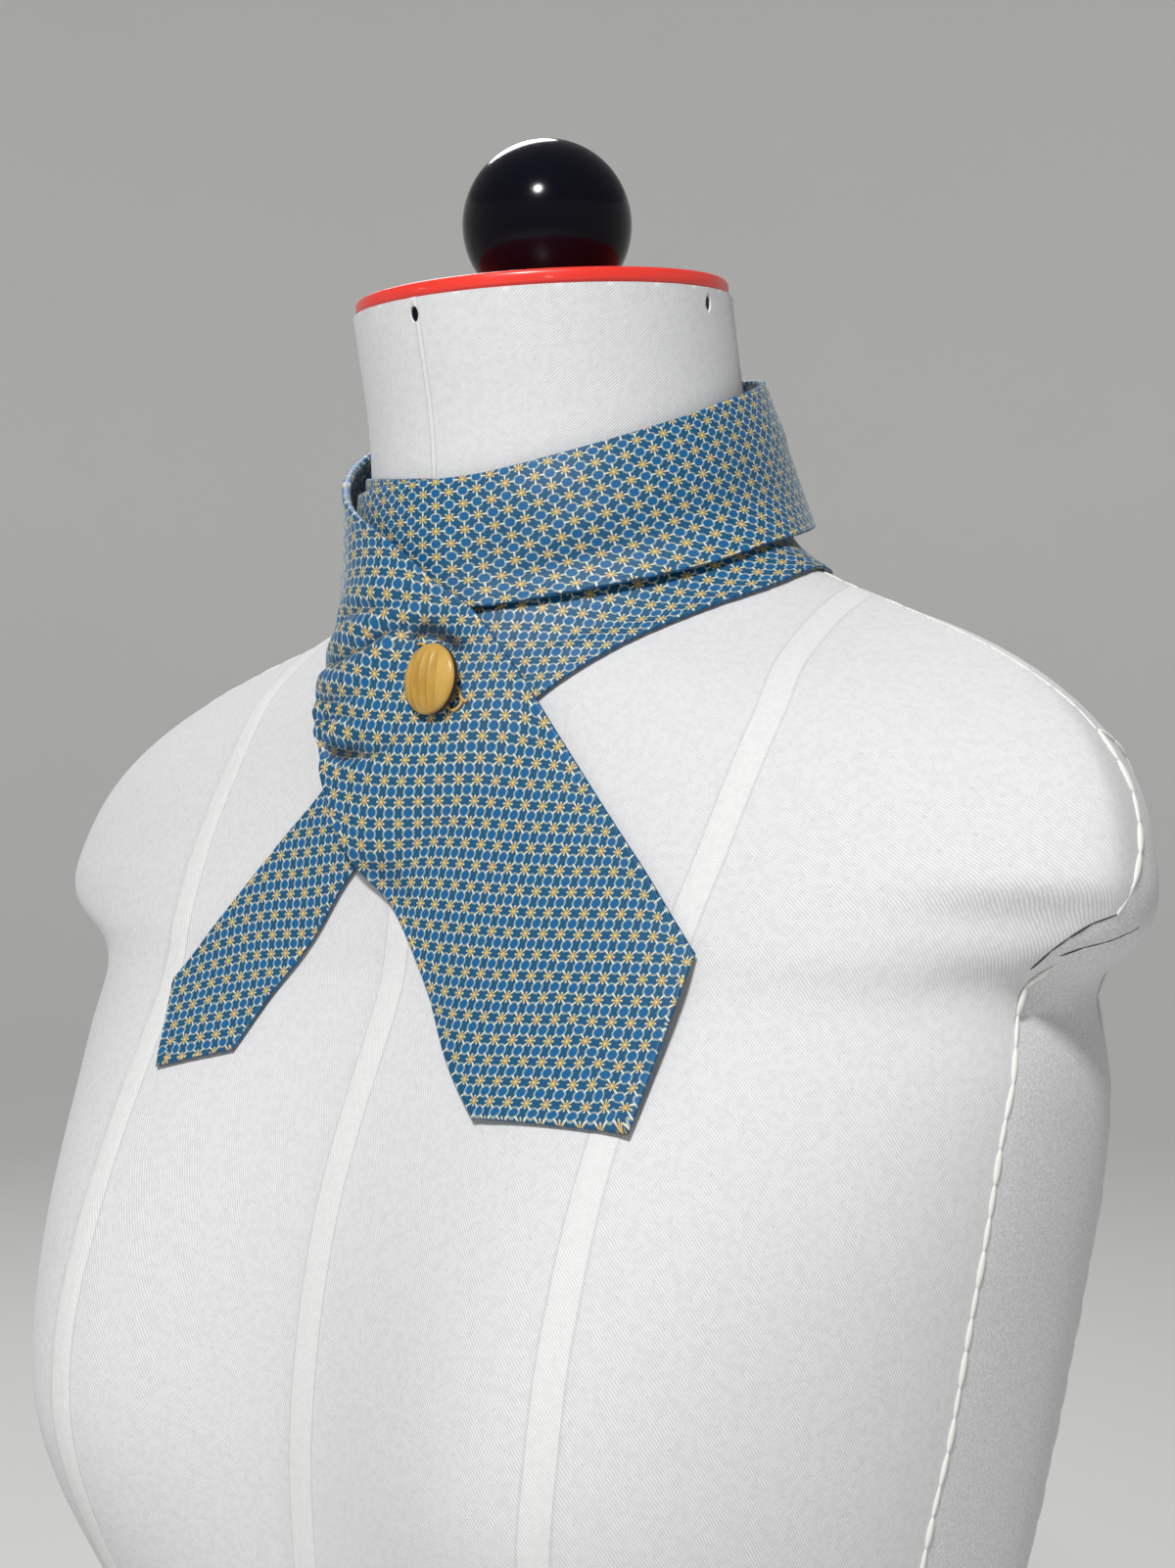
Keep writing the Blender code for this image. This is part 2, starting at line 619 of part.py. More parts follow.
def flute_cutter(middle, dome_radius, cutters):
    """A ring that scoops one flute: deepest half-way up the dome, and out before its rim."""
    slice_radius = math.sqrt(dome_radius ** 2 - middle ** 2)
    end = FLUTE_REACH * math.sqrt(BUTTON_RADIUS ** 2 - middle ** 2)
    fall = slice_radius - math.sqrt(slice_radius ** 2 - end ** 2) - FLUTE_DEPTH
    scoop_radius = (end ** 2 + fall ** 2) / (2.0 * fall)
    tube = ((FLUTE_WIDTH / 2.0) ** 2 + FLUTE_DEPTH ** 2) / (2.0 * FLUTE_DEPTH)
    floor = BUTTON_TOP - dome_radius + slice_radius - FLUTE_DEPTH
    bpy.ops.mesh.primitive_torus_add(
        major_segments=SCOOP_AROUND, minor_segments=SCOOP_TUBE,
        major_radius=scoop_radius + tube, minor_radius=tube,
        location=(middle, 0.0, floor - scoop_radius), rotation=(0.0, math.pi / 2.0, 0.0),
    )
    cutter = bpy.context.object
    cutter.name = "flute_cutter"
    for home in list(cutter.users_collection):
        home.objects.unlink(cutter)
    cutters.objects.link(cutter)
    cutter.hide_render = True
    cutter.display_type = "WIRE"
    return cutter


def build_button(blade, parts):
    """A domed button with flutes on its left part, and its thread shank."""
    centre = (BUTTON_RADIUS - BUTTON_EDGE, BUTTON_BACK + BUTTON_EDGE)
    rim = arc(centre, BUTTON_EDGE, -90, RIM_TURN, EDGE_STEPS + 1)
    edge_radius, edge_height = rim[-1]
    rise = BUTTON_TOP - edge_height
    dome_radius = (edge_radius ** 2 + rise ** 2) / (2.0 * rise)
    slope = math.degrees(math.asin(edge_radius / dome_radius))
    dome = arc((0.0, BUTTON_TOP - dome_radius), dome_radius, 90.0 - slope, 90.0, DOME_STEPS)
    profile = [(0.0, 0.0), (SHANK_RADIUS, 0.0), (SHANK_RADIUS, BUTTON_BACK), *rim, *dome[1:-1]]
    profile.append((0.0, BUTTON_TOP))
    resin = material("mustard_resin", (0.55, 0.32, 0.06), 0.3)
    button = add_object("button", turned_mesh("button", profile, BUTTON_AROUND), resin, parts)
    cutters = bpy.data.collections.new("cutters")
    bpy.context.scene.collection.children.link(cutters)
    place = button_frame(blade)
    button.matrix_world = place
    for middle in FLUTES:
        cutter = flute_cutter(middle, dome_radius, cutters)
        bpy.context.view_layer.update()
        cutter.matrix_world = place @ cutter.matrix_world
        cut = button.modifiers.new("flute", "BOOLEAN")
        cut.operation = "DIFFERENCE"
        cut.object = cutter
    return button


def main():
    clear_scene()
    parts = bpy.data.collections.new("cravat_on_form")
    bpy.context.scene.collection.children.link(parts)
    form = build_form_body(parts)
    build_neck_cap(parts)
    build_neck_knob(parts)
    silk = material("woven_silk", (0.03, 0.16, 0.40), 0.6)
    support = Support(form)
    grids = {name: build_band(name, rows, look, support, silk, parts) for name, rows, look in BANDS}
    build_button(grids["blade"], parts)


main()
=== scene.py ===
# %% [markdown]
# # A buttoned necktie cravat on a dress form
#
# A silk necktie is wound twice round the neck of a white dress form. Its wide end crosses over the throat
# and is held by one fluted button, and its narrow end shows below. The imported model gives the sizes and
# places; this lesson gives every piece its finished shape and its finish.

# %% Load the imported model
import math

import bpy
import numpy as np
from mathutils import Matrix, Vector
from mathutils.bvhtree import BVHTree
from mathutils.kdtree import KDTree


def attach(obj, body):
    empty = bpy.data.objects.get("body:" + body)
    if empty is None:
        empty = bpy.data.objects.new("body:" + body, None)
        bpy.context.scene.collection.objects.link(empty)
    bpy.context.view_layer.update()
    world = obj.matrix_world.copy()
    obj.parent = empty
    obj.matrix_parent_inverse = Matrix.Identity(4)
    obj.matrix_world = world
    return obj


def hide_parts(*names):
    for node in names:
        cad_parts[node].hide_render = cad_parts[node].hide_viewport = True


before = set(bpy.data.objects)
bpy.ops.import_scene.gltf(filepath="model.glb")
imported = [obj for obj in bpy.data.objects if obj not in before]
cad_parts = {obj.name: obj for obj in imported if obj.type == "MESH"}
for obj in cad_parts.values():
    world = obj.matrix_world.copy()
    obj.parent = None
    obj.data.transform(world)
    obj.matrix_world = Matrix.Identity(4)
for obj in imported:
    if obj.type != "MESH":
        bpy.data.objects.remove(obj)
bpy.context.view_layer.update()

print("nodes:", ", ".join(sorted(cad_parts)))

# %% [markdown]
# ## The camera
#
# The form is seen from its left front, at the height of its chest, with a level camera. The camera is
# placed from the middle of the neck: so far away, a little to the side and so far below the neck's top.

# %% Camera
NECK_TOP = 0.713          # height of the neck's top edge
CAMERA_TURN = math.radians(39.0)
CAMERA_AWAY = 0.700
CAMERA_ASIDE = 0.00875
CAMERA_DROP = 0.140
FOCAL_PIXELS = 2400.0     # focal length, for a frame of FRAME_SIZE
FRAME_SIZE = (1200, 1601)
SENSOR = 36.0

ahead = Vector((-math.sin(CAMERA_TURN), math.cos(CAMERA_TURN), 0.0))
aside = Vector((math.cos(CAMERA_TURN), math.sin(CAMERA_TURN), 0.0))
camera_place = aside * CAMERA_ASIDE - ahead * CAMERA_AWAY + Vector((0.0, 0.0, NECK_TOP - CAMERA_DROP))
bpy.ops.object.camera_add(location=camera_place, rotation=(math.pi / 2.0, 0.0, CAMERA_TURN))
camera = bpy.context.object
camera.data.sensor_width = SENSOR
camera.data.lens = FOCAL_PIXELS * SENSOR / max(FRAME_SIZE)
bpy.context.scene.camera = camera
print("camera at", [round(value, 4) for value in camera_place])

# %% [markdown]
# ## Small helpers
#
# An operator acts on everything that is selected, so each step first selects only its own piece. A finished
# piece rides on the model's one body, gets its material and hides the plain solid that it stands for.

# %% Helpers for pieces
MERGE_GAP = 0.00001


def only(thing):
    bpy.ops.object.select_all(action="DESELECT")
    thing.select_set(True)
    bpy.context.view_layer.objects.active = thing


def add_mesh(operator, **settings):
    """Adds a primitive while nothing else is selected, and returns it."""
    bpy.ops.object.select_all(action="DESELECT")
    operator(**settings)
    return bpy.context.object


def new_object(name, mesh):
    thing = bpy.data.objects.new(name, mesh)
    bpy.context.scene.collection.objects.link(thing)
    return thing


def modify(thing, kind, **settings):
    """Adds a modifier and applies it."""
    only(thing)
    change = thing.modifiers.new(kind.lower(), kind)
    for name, value in settings.items():
        setattr(change, name, value)
    bpy.ops.object.modifier_apply(modifier=change.name)


def outward_normals(thing):
    """Turns every face of a closed mesh outward."""
    only(thing)
    bpy.ops.object.mode_set(mode="EDIT")
    bpy.ops.mesh.select_all(action="SELECT")
    bpy.ops.mesh.normals_make_consistent(inside=False)
    bpy.ops.object.mode_set(mode="OBJECT")


def place_mesh(thing, matrix):
    """Moves the mesh itself, and leaves the object at the origin."""
    only(thing)
    bpy.ops.object.transform_apply(location=True, rotation=True, scale=True)
    thing.data.transform(matrix)


def finish_piece(thing, name, slot, paint, *nodes, angle=None):
    thing.name = name
    thing.data.name = name
    thing.data.materials.clear()
    thing.data.materials.append(paint)
    only(thing)
    if angle is None:
        bpy.ops.object.shade_smooth()
    else:
        bpy.ops.object.shade_smooth_by_angle(angle=math.radians(angle))
    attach(thing, "root")
    if nodes:
        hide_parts(*nodes)
    print(f"{name}: {len(thing.data.vertices)} points, {len(thing.data.polygons)} faces")


def join_all(things):
    bpy.ops.object.select_all(action="DESELECT")
    for thing in things:
        thing.select_set(True)
    bpy.context.view_layer.objects.active = things[0]
    bpy.ops.object.join()
    return things[0]


# %% [markdown]
# ## Wiring materials
#
# Nodes are added and linked by a small class, so that a material reads as a recipe. Colours are given as
# display values from 0 to 255 and turned into the linear values that the shader wants.

# %% Helpers for materials
def tone(red, green, blue):
    """Linear colour of a display colour."""
    shares = [value / 255.0 for value in (red, green, blue)]
    linear = [s / 12.92 if s <= 0.04045 else ((s + 0.055) / 1.055) ** 2.4 for s in shares]
    return (*linear, 1.0)


class Wires:
    def __init__(self, tree):
        self.tree = tree

    def add(self, kind, **settings):
        node = self.tree.nodes.new(kind)
        for name, value in settings.items():
            setattr(node, name, value)
        return node

    def plug(self, value, socket):
        if isinstance(value, bpy.types.NodeSocket):
            self.tree.links.new(value, socket)
        else:
            socket.default_value = value

    def calc(self, operation, *values):
        node = self.add("ShaderNodeMath", operation=operation)
        for value, socket in zip(values, node.inputs):
            self.plug(value, socket)
        return node.outputs[0]

    def body(self):
        """Place on the object, in metres."""
        return self.add("ShaderNodeTexCoord").outputs["Object"]

    def attribute(self, name):
        """Value that the mesh carries on its points."""
        return self.add("ShaderNodeAttribute", attribute_name=name).outputs["Fac"]

    def fade(self, value, start, end, low=0.0, high=1.0):
        """Smooth step of a value from start to end."""
        node = self.add("ShaderNodeMapRange", interpolation_type="SMOOTHSTEP")
        names = ("Value", "From Min", "From Max", "To Min", "To Max")
        for name, setting in zip(names, (value, start, end, low, high)):
            self.plug(setting, node.inputs[name])
        return node.outputs["Result"]

    def mix(self, share, low, high):
        node = self.add("ShaderNodeMix", data_type="RGBA")
        self.plug(share, node.inputs["Factor"])
        self.plug(low, node.inputs[6])
        self.plug(high, node.inputs[7])
        return node.outputs[2]

    def noise(self, place, scale, detail=2.0, stretch=None):
        if stretch:
            mapping = self.add("ShaderNodeMapping")
            self.plug(place, mapping.inputs["Vector"])
            mapping.inputs["Scale"].default_value = stretch
            place = mapping.outputs["Vector"]
        node = self.add("ShaderNodeTexNoise")
        self.plug(place, node.inputs["Vector"])
        node.inputs["Scale"].default_value = scale
        node.inputs["Detail"].default_value = detail
        return node.outputs["Fac"]

    def bump(self, height, depth, strength=1.0):
        node = self.add("ShaderNodeBump")
        self.plug(height, node.inputs["Height"])
        node.inputs["Distance"].default_value = depth
        node.inputs["Strength"].default_value = strength
        return node.outputs["Normal"]

    def group(self, tree, **values):
        node = self.add("ShaderNodeGroup", node_tree=tree)
        for name, value in values.items():
            self.plug(value, node.inputs[name.replace("_", " ")])
        return node.outputs


def new_group(name, inputs, outputs):
    """A shader node group; inputs are given as name: value, and outputs by name."""
    tree = bpy.data.node_groups.new(name, "ShaderNodeTree")
    for label, value in inputs.items():
        kind = "NodeSocketVector" if value is None else "NodeSocketFloat"
        socket = tree.interface.new_socket(name=label, in_out="INPUT", socket_type=kind)
        if value is not None:
            socket.default_value = value
    for label in outputs:
        tree.interface.new_socket(name=label, in_out="OUTPUT", socket_type="NodeSocketFloat")
    wires = Wires(tree)
    return tree, wires, wires.add("NodeGroupInput").outputs, wires.add("NodeGroupOutput").inputs


def new_paint(name, roughness, **constants):
    """A material with its Principled shader; constants are set on the shader's own sockets."""
    paint = bpy.data.materials.new(name)
    paint.use_nodes = True
    shader = paint.node_tree.nodes["Principled BSDF"].inputs
    shader["Roughness"].default_value = roughness
    for label, value in constants.items():
        shader[label.replace("_", " ")].default_value = value
    return paint, Wires(paint.node_tree), shader


# %% [markdown]
# ## Cloth in the shader: twill and the star repeat
#
# Both cloths are twills: their surface is fine slanting wales. One group draws wales on any cloth, as a
# wave across them with a little unevenness. The silk also has a woven repeat. Eight-petalled stars and
# rings take turns on the crossings of a square net, and short bars join each star to the four rings beside
# it. Folding the plane onto one eighth of a cell means that one petal, one bar and one piece of ring draw
# them all.

# %% Twill group
twill, wires, given, wanted = new_group(
    "twill_wales", {"Place": None, "Spacing": 0.0005, "Wobble": 0.25}, ("Wale", "Slub")
)
across = wires.add("ShaderNodeSeparateXYZ")
wires.plug(given["Place"], across.inputs[0])
uneven = wires.calc("SUBTRACT", wires.noise(given["Place"], 260.0, 3.0), 0.5)
turns = wires.calc("DIVIDE", across.outputs["X"], given["Spacing"])
turns = wires.calc("ADD", turns, wires.calc("MULTIPLY", uneven, given["Wobble"]))
wave = wires.calc("SINE", wires.calc("MULTIPLY", turns, 2.0 * math.pi))
wires.plug(wires.calc("MULTIPLY_ADD", wave, 0.5, 0.5), wanted["Wale"])
wires.plug(wires.fade(wires.noise(given["Place"], 900.0, 1.0), 0.66, 0.76), wanted["Slub"])
print("twill group:", len(twill.nodes), "nodes")

# %% Star and ring group
# Sizes in the repeat are given as shares of its pitch.
PETALS = 8.0
PETAL_MIDDLE = 0.300      # mean reach of a star's outline, and how far it goes in and out
PETAL_SWING = 0.060
TIP_PLACE = 0.235         # both coordinates of the pale tip on a slanting petal
RING_RADIUS = 0.395

repeat, wires, given, wanted = new_group(
    "star_and_ring_repeat", {"Place": None, "Pitch": 0.0041},
    ("Star", "Petal", "Tip", "Centre", "Bar", "Ring", "Disc"),
)
flat = wires.add("ShaderNodeSeparateXYZ")
wires.plug(given["Place"], flat.inputs[0])
u = wires.calc("DIVIDE", flat.outputs["X"], given["Pitch"])
v = wires.calc("DIVIDE", flat.outputs["Y"], given["Pitch"])
# Stars stand where (u + v) / 2 and (u - v) / 2 are whole numbers; what is left over is the place within a
# cell.
rising = wires.calc("MULTIPLY", wires.calc("ADD", u, v), 0.5)
falling = wires.calc("MULTIPLY", wires.calc("SUBTRACT", u, v), 0.5)
rising = wires.calc("SUBTRACT", rising, wires.calc("ROUND", rising))
falling = wires.calc("SUBTRACT", falling, wires.calc("ROUND", falling))
one = wires.calc("ABSOLUTE", wires.calc("ADD", rising, falling))
two = wires.calc("ABSOLUTE", wires.calc("SUBTRACT", rising, falling))
far = wires.calc("MAXIMUM", one, two)
near = wires.calc("MINIMUM", one, two)


def length(x, y):
    return wires.calc("SQRT", wires.calc("ADD", wires.calc("MULTIPLY", x, x), wires.calc("MULTIPLY", y, y)))


reach = length(far, near)
lobes = wires.calc("COSINE", wires.calc("MULTIPLY", wires.calc("ARCTAN2", near, far), PETALS))
petal_edge = wires.calc("MULTIPLY_ADD", lobes, PETAL_SWING, PETAL_MIDDLE)
star = wires.fade(wires.calc("SUBTRACT", petal_edge, reach), -0.02, 0.03)
tip_gap = length(wires.calc("SUBTRACT", far, TIP_PLACE), wires.calc("SUBTRACT", near, TIP_PLACE))
tip = wires.fade(tip_gap, 0.10, 0.05)
bar_side = wires.fade(near, 0.080, 0.045)
bar = wires.calc("MULTIPLY", bar_side, wires.fade(far, 0.30, 0.35))
bar = wires.calc("MULTIPLY", bar, wires.fade(far, 0.70, 0.64))
from_ring = length(wires.calc("SUBTRACT", 1.0, far), near)
ring_gap = wires.calc("ABSOLUTE", wires.calc("SUBTRACT", from_ring, RING_RADIUS))
for mask, label in (
    (star, "Star"), (wires.calc("MULTIPLY_ADD", lobes, 0.5, 0.5), "Petal"), (tip, "Tip"),
    (wires.fade(reach, 0.13, 0.06), "Centre"), (bar, "Bar"),
    (wires.fade(ring_gap, 0.082, 0.045), "Ring"), (wires.fade(from_ring, 0.34, 0.30), "Disc"),
):
    wires.plug(mask, wanted[label])
print("repeat group:", len(repeat.nodes), "nodes")

# %% [markdown]
# ## The silk
#
# The silk is blue with cream bars and rings and golden stars. It is cut on the bias, so its wales run along
# the tie. Its coordinates are the flat cloth's own, in metres, so the repeat keeps its size and turns with
# the cloth. At the folded edges the repeat gives way to plain blue. A soft sheen lightens it where it turns
# away, and painted shade, read from an attribute of the mesh, darkens it at the bottom of its folds.

# %% Silk
SILK_WALE = 0.00043
SILK_WALE_TURN = math.radians(7.0)        # between the wales and the length of the tie
PITCH = 0.00402           # from a star to the ring beside it
WALE_SHADE = 0.45         # how much the dark grooves between the wales cut through the repeat
FOLD_SHADE = 0.85         # how much darker the silk is painted at the bottom of a fold, as painted shade
HEM = 0.0003              # plain strip along a folded edge

silk, wires, shader = new_paint(
    "star_silk", 0.46, Sheen_Weight=0.25, Sheen_Roughness=0.35, Sheen_Tint=(0.80, 0.92, 0.95, 1.0),
    Specular_IOR_Level=0.35,
)
cloth = wires.add("ShaderNodeUVMap", uv_map="cloth").outputs["UV"]
motif = wires.group(repeat, Place=cloth, Pitch=PITCH)
turned = wires.add("ShaderNodeVectorRotate", rotation_type="Z_AXIS")
wires.plug(cloth, turned.inputs["Vector"])
turned.inputs["Angle"].default_value = SILK_WALE_TURN
weave = wires.group(twill, Place=turned.outputs["Vector"], Spacing=SILK_WALE, Wobble=0.3)
ground = wires.mix(weave["Wale"], tone(0, 52, 90), tone(18, 100, 140))
disc = wires.mix(weave["Wale"], tone(0, 68, 120), tone(12, 112, 170))
gold = wires.mix(motif["Petal"], tone(120, 94, 52), tone(224, 200, 134))
gold = wires.mix(wires.fade(wires.noise(cloth, 160.0, 1.0), 0.5, 0.7, 0.0, 0.4), gold, tone(198, 156, 104))
colour = wires.mix(motif["Disc"], ground, disc)
colour = wires.mix(motif["Ring"], colour, tone(158, 170, 166))
colour = wires.mix(motif["Bar"], colour, tone(224, 226, 208))
colour = wires.mix(motif["Star"], colour, gold)
colour = wires.mix(motif["Tip"], colour, tone(214, 208, 174))
colour = wires.mix(motif["Centre"], colour, tone(228, 208, 134))
hem = wires.attribute("hem")
deep = wires.attribute("deep")
colour = wires.mix(wires.fade(hem, HEM, 0.4 * HEM), colour, tone(24, 82, 126))
colour = wires.mix(wires.fade(weave["Wale"], 0.0, 0.5, WALE_SHADE, 0.0), colour, tone(8, 40, 72))
# Painted shade: the silk is darkened where it lies deep in a fold.
colour = wires.mix(wires.fade(deep, 0.0, 1.0, 0.0, FOLD_SHADE), colour, tone(4, 18, 38))
wires.plug(colour, shader["Base Color"])
floats = wires.calc("MAXIMUM", wires.calc("MAXIMUM", motif["Bar"], motif["Ring"]), motif["Star"])
height = wires.calc("MULTIPLY_ADD", weave["Wale"], 0.45, floats)
wires.plug(wires.bump(height, 0.00009, 0.8), shader["Normal"])
wires.plug(wires.fade(floats, 0.0, 1.0, 0.50, 0.40), shader["Roughness"])
print("silk:", len(silk.node_tree.nodes), "nodes")

# %% [markdown]
# ## The canvas
#
# The form is covered in white cotton twill. Panels are seamed together over the bust, and the seam
# allowance under the cloth shows as a paler band beside each seam. Small slubs darken it here and there.
# The side panels are a plain felted cloth. Three values come from the mesh: the way along and across the
# wales, the distance from the middle of the nearest allowance, and how far a spot belongs to a side panel.

# %% Canvas
CANVAS_WALE = 0.00068
ALLOWANCE = 0.0085        # width of the turned cloth beside a seam
SEAM_LINE = 0.00035

canvas, wires, shader = new_paint("twill_canvas", 0.88, Specular_IOR_Level=0.25, Sheen_Weight=0.12)
cloth = wires.add("ShaderNodeUVMap", uv_map="cloth").outputs["UV"]
body = wires.body()
felt = wires.attribute("felt")
seam = wires.attribute("seam")
weave = wires.group(twill, Place=cloth, Spacing=CANVAS_WALE, Wobble=1.0)
worn = wires.noise(body, 9.0, 3.0)
colour = wires.mix(weave["Wale"], tone(201, 201, 202), tone(227, 227, 228))
colour = wires.mix(wires.calc("MULTIPLY", weave["Slub"], 0.5), colour, tone(184, 184, 184))
grain = wires.fade(wires.noise(body, 520.0, 3.0), 0.42, 0.62, 0.0, 0.30)
colour = wires.mix(grain, colour, tone(197, 197, 199))
allowance = wires.fade(seam, 0.5 * ALLOWANCE + SEAM_LINE, 0.5 * ALLOWANCE - SEAM_LINE)
colour = wires.mix(wires.calc("MULTIPLY", allowance, 0.24), colour, tone(238, 238, 233))
from_edge = wires.calc("ABSOLUTE", wires.calc("SUBTRACT", seam, 0.5 * ALLOWANCE))
line = wires.fade(from_edge, SEAM_LINE, 0.4 * SEAM_LINE)
colour = wires.mix(wires.calc("MULTIPLY", line, 0.24), colour, tone(172, 172, 173))
fuzz = wires.noise(body, 1500.0, 2.0)
plain = wires.mix(wires.fade(fuzz, 0.35, 0.68), tone(200, 200, 202), tone(222, 222, 224))
colour = wires.mix(felt, colour, plain)
colour = wires.mix(wires.fade(worn, 0.45, 0.8, 0.0, 0.35), colour, tone(212, 212, 213))
wires.plug(colour, shader["Base Color"])
woven = wires.calc("MULTIPLY", weave["Wale"], wires.calc("SUBTRACT", 1.0, felt))
height = wires.calc("MULTIPLY_ADD", fuzz, 0.5, woven)
height = wires.calc("SUBTRACT", height, wires.calc("MULTIPLY", line, 2.0))
wires.plug(wires.bump(height, 0.00010, 0.7), shader["Normal"])
print("canvas:", len(canvas.node_tree.nodes), "nodes")

# %% [markdown]
# ## Hard finishes and thread
#
# The disc on the neck is painted red, with faint scratches along its rim. The ball is black lacquer, whose
# faint navy patches are painted reflection of a blue sky. The button is an old mustard resin with cloudy
# streaks, and its shaded back is painted dark brown as painted shade. The thread is twisted gold silk. The
# same recipe in pale and in dark grey tones paints the sewn edges of the canvas and the painted shade in its
# creases.

# %% Red paint, black lacquer, resin, thread
red, wires, shader = new_paint("red_paint", 0.38, Coat_Weight=0.25, Coat_Roughness=0.2)
body = wires.body()
scratch = wires.fade(wires.noise(body, 120.0, 2.0, (1.0, 1.0, 9.0)), 0.70, 0.74)
patchy = wires.mix(wires.noise(body, 35.0, 3.0), tone(224, 44, 32), tone(238, 60, 46))
wires.plug(wires.mix(wires.calc("MULTIPLY", scratch, 0.6), patchy, tone(250, 150, 135)), shader["Base Color"])
wires.plug(wires.fade(wires.noise(body, 60.0, 4.0), 0.3, 0.8, 0.30, 0.48), shader["Roughness"])
surface = wires.calc("SUBTRACT", wires.noise(body, 300.0), scratch)
wires.plug(wires.bump(surface, 0.00004, 0.5), shader["Normal"])

lacquer, wires, shader = new_paint("black_lacquer", 0.14, Specular_IOR_Level=0.15)
body = wires.body()
# Painted reflection: the black turns at random towards a faint navy, which stands for a blue sky in the
# lacquer.
black = wires.mix(wires.noise(body, 18.0), (0.002, 0.002, 0.003, 1.0), (0.004, 0.004, 0.012, 1.0))
wires.plug(black, shader["Base Color"])
dust = wires.fade(wires.noise(body, 700.0, 1.0), 0.72, 0.78)
wires.plug(wires.fade(dust, 0.0, 1.0, 0.14, 0.38), shader["Roughness"])

resin, wires, shader = new_paint(
    "mustard_resin", 0.40, Coat_Weight=0.15, Coat_Roughness=0.15, Subsurface_Weight=0.08,
    Subsurface_Scale=0.002, Subsurface_Radius=(1.0, 0.6, 0.2),
)
body = wires.body()
cloudy = wires.noise(body, 150.0, 3.0, (1.0, 1.0, 0.35))
mustard = wires.mix(wires.fade(cloudy, 0.3, 0.7), tone(170, 128, 44), tone(196, 158, 76))
wires.plug(mustard, shader["Base Color"])
wires.plug(wires.fade(wires.noise(body, 500.0), 0.3, 0.7, 0.34, 0.48), shader["Roughness"])

# Painted shade: the button's back is painted dark brown for its shaded underside.
brown, wires, shader = new_paint("resin_painted_shade", 0.35)
body = wires.body()
wires.plug(wires.mix(wires.noise(body, 300.0), tone(38, 18, 10), tone(60, 32, 18)), shader["Base Color"])


def thread_paint(name, dark, light):
    paint, wires, shader = new_paint(name, 0.55, Sheen_Weight=0.3)
    body = wires.body()
    strands = wires.add("ShaderNodeTexWave", bands_direction="DIAGONAL")
    wires.plug(body, strands.inputs["Vector"])
    strands.inputs["Scale"].default_value = 900.0
    wires.plug(wires.mix(strands.outputs["Fac"], dark, light), shader["Base Color"])
    wires.plug(wires.bump(strands.outputs["Fac"], 0.00006), shader["Normal"])
    return paint


gold_thread = thread_paint("gold_thread", tone(176, 122, 40), tone(232, 186, 96))
folded_canvas = thread_paint("folded_canvas", tone(218, 216, 210), tone(246, 245, 241))
shaded_canvas = thread_paint("shaded_canvas", tone(34, 34, 38), tone(62, 62, 66))
print("materials:", len(bpy.data.materials))

# %% [markdown]
# ## The form's cover
#
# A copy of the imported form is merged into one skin, turned back into four-sided faces where that can be
# done, and subdivided twice, so that its outline is round from close by. Its sharp rims at the neck and at
# the base are creased first, or subdivision would melt them.

# %% Copy and smooth the form
RIM_ANGLE = math.radians(45.0)            # a sharper edge is a rim
QUAD_ANGLE = math.radians(60.0)           # two triangles that bend less than this may become one face


def copy_node(node, name):
    thing = new_object(name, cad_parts[node].data.copy())
    only(thing)
    bpy.ops.object.mode_set(mode="EDIT")
    bpy.ops.mesh.select_all(action="SELECT")
    bpy.ops.mesh.remove_doubles(threshold=MERGE_GAP)
    bpy.ops.mesh.tris_convert_to_quads(face_threshold=QUAD_ANGLE, shape_threshold=QUAD_ANGLE)
    bpy.ops.mesh.select_all(action="DESELECT")
    bpy.ops.mesh.edges_select_sharp(sharpness=RIM_ANGLE)
    bpy.ops.transform.edge_crease(value=1.0)
    bpy.ops.object.mode_set(mode="OBJECT")
    return thing


cover = copy_node("form_body", "form_cover")
quads = sum(len(face.vertices) == 4 for face in cover.data.polygons)
print("form:", quads, "of", len(cover.data.polygons), "faces have four sides")
modify(cover, "SUBSURF", levels=2, render_levels=2)

# %% [markdown]
# ## The hollows in front of the armpits
#
# The padding sinks in front of each armpit, and the tight cloth follows it. The points near a hollow are
# moved in, most in its middle. The left one has a sharp upper rim, where the chest's padding ends; the
# right one is softer.

# %% Sink the hollows
# Side (1 left, -1 right), middle as on the left side, depth, height, and sharpness of the upper rim.
HOLLOWS = (
    (1.0, Vector((0.178, -0.034, 0.5320)), 0.0085, 0.0118, 4),
    (-1.0, Vector((0.168, -0.040, 0.5165)), 0.0032, 0.0090, 2),
)
HOLLOW_WAY = Vector((0.854, 0.520, 0.0))  # along it, towards the armpit
HOLLOW_IN = Vector((-0.52, 0.854, 0.0))
HOLLOW_LENGTH = 0.022
HOLLOW_FADE = 0.026       # it runs out over this depth before the middle of the side

for side, middle, depth, height, sharpness in HOLLOWS:
    mirror = Vector((side, 1.0, 1.0))
    for vertex in cover.data.vertices:
        away = vertex.co * mirror - middle
        if vertex.co.x * side > 0.0 and abs(away.dot(HOLLOW_IN)) < 2.0 * HOLLOW_LENGTH:
            up = abs(away.z / height) ** (sharpness if away.z > 0.0 else 2)
            spread_out = (away.dot(HOLLOW_WAY) / HOLLOW_LENGTH) ** 2 + up
            share = min(max(-vertex.co.y / HOLLOW_FADE, 0.0), 1.0)
            sunk = depth * share * share * (3.0 - 2.0 * share) * math.exp(-0.5 * spread_out)
            vertex.co += HOLLOW_IN * mirror * sunk
    print("hollow:", round(depth * 1000.0, 1), "mm deep")

# %% [markdown]
# ## Where the seams run
#
# Seams are lines on the form, so each is given by a few spots and found on the skin by a straight probe:
# from the front or the back at a width and a drop, from the side at a depth and a drop, or from above at a
# width and a depth. A smooth curve through the spots is probed every few millimetres, or every millimetre
# for a sewn edge.

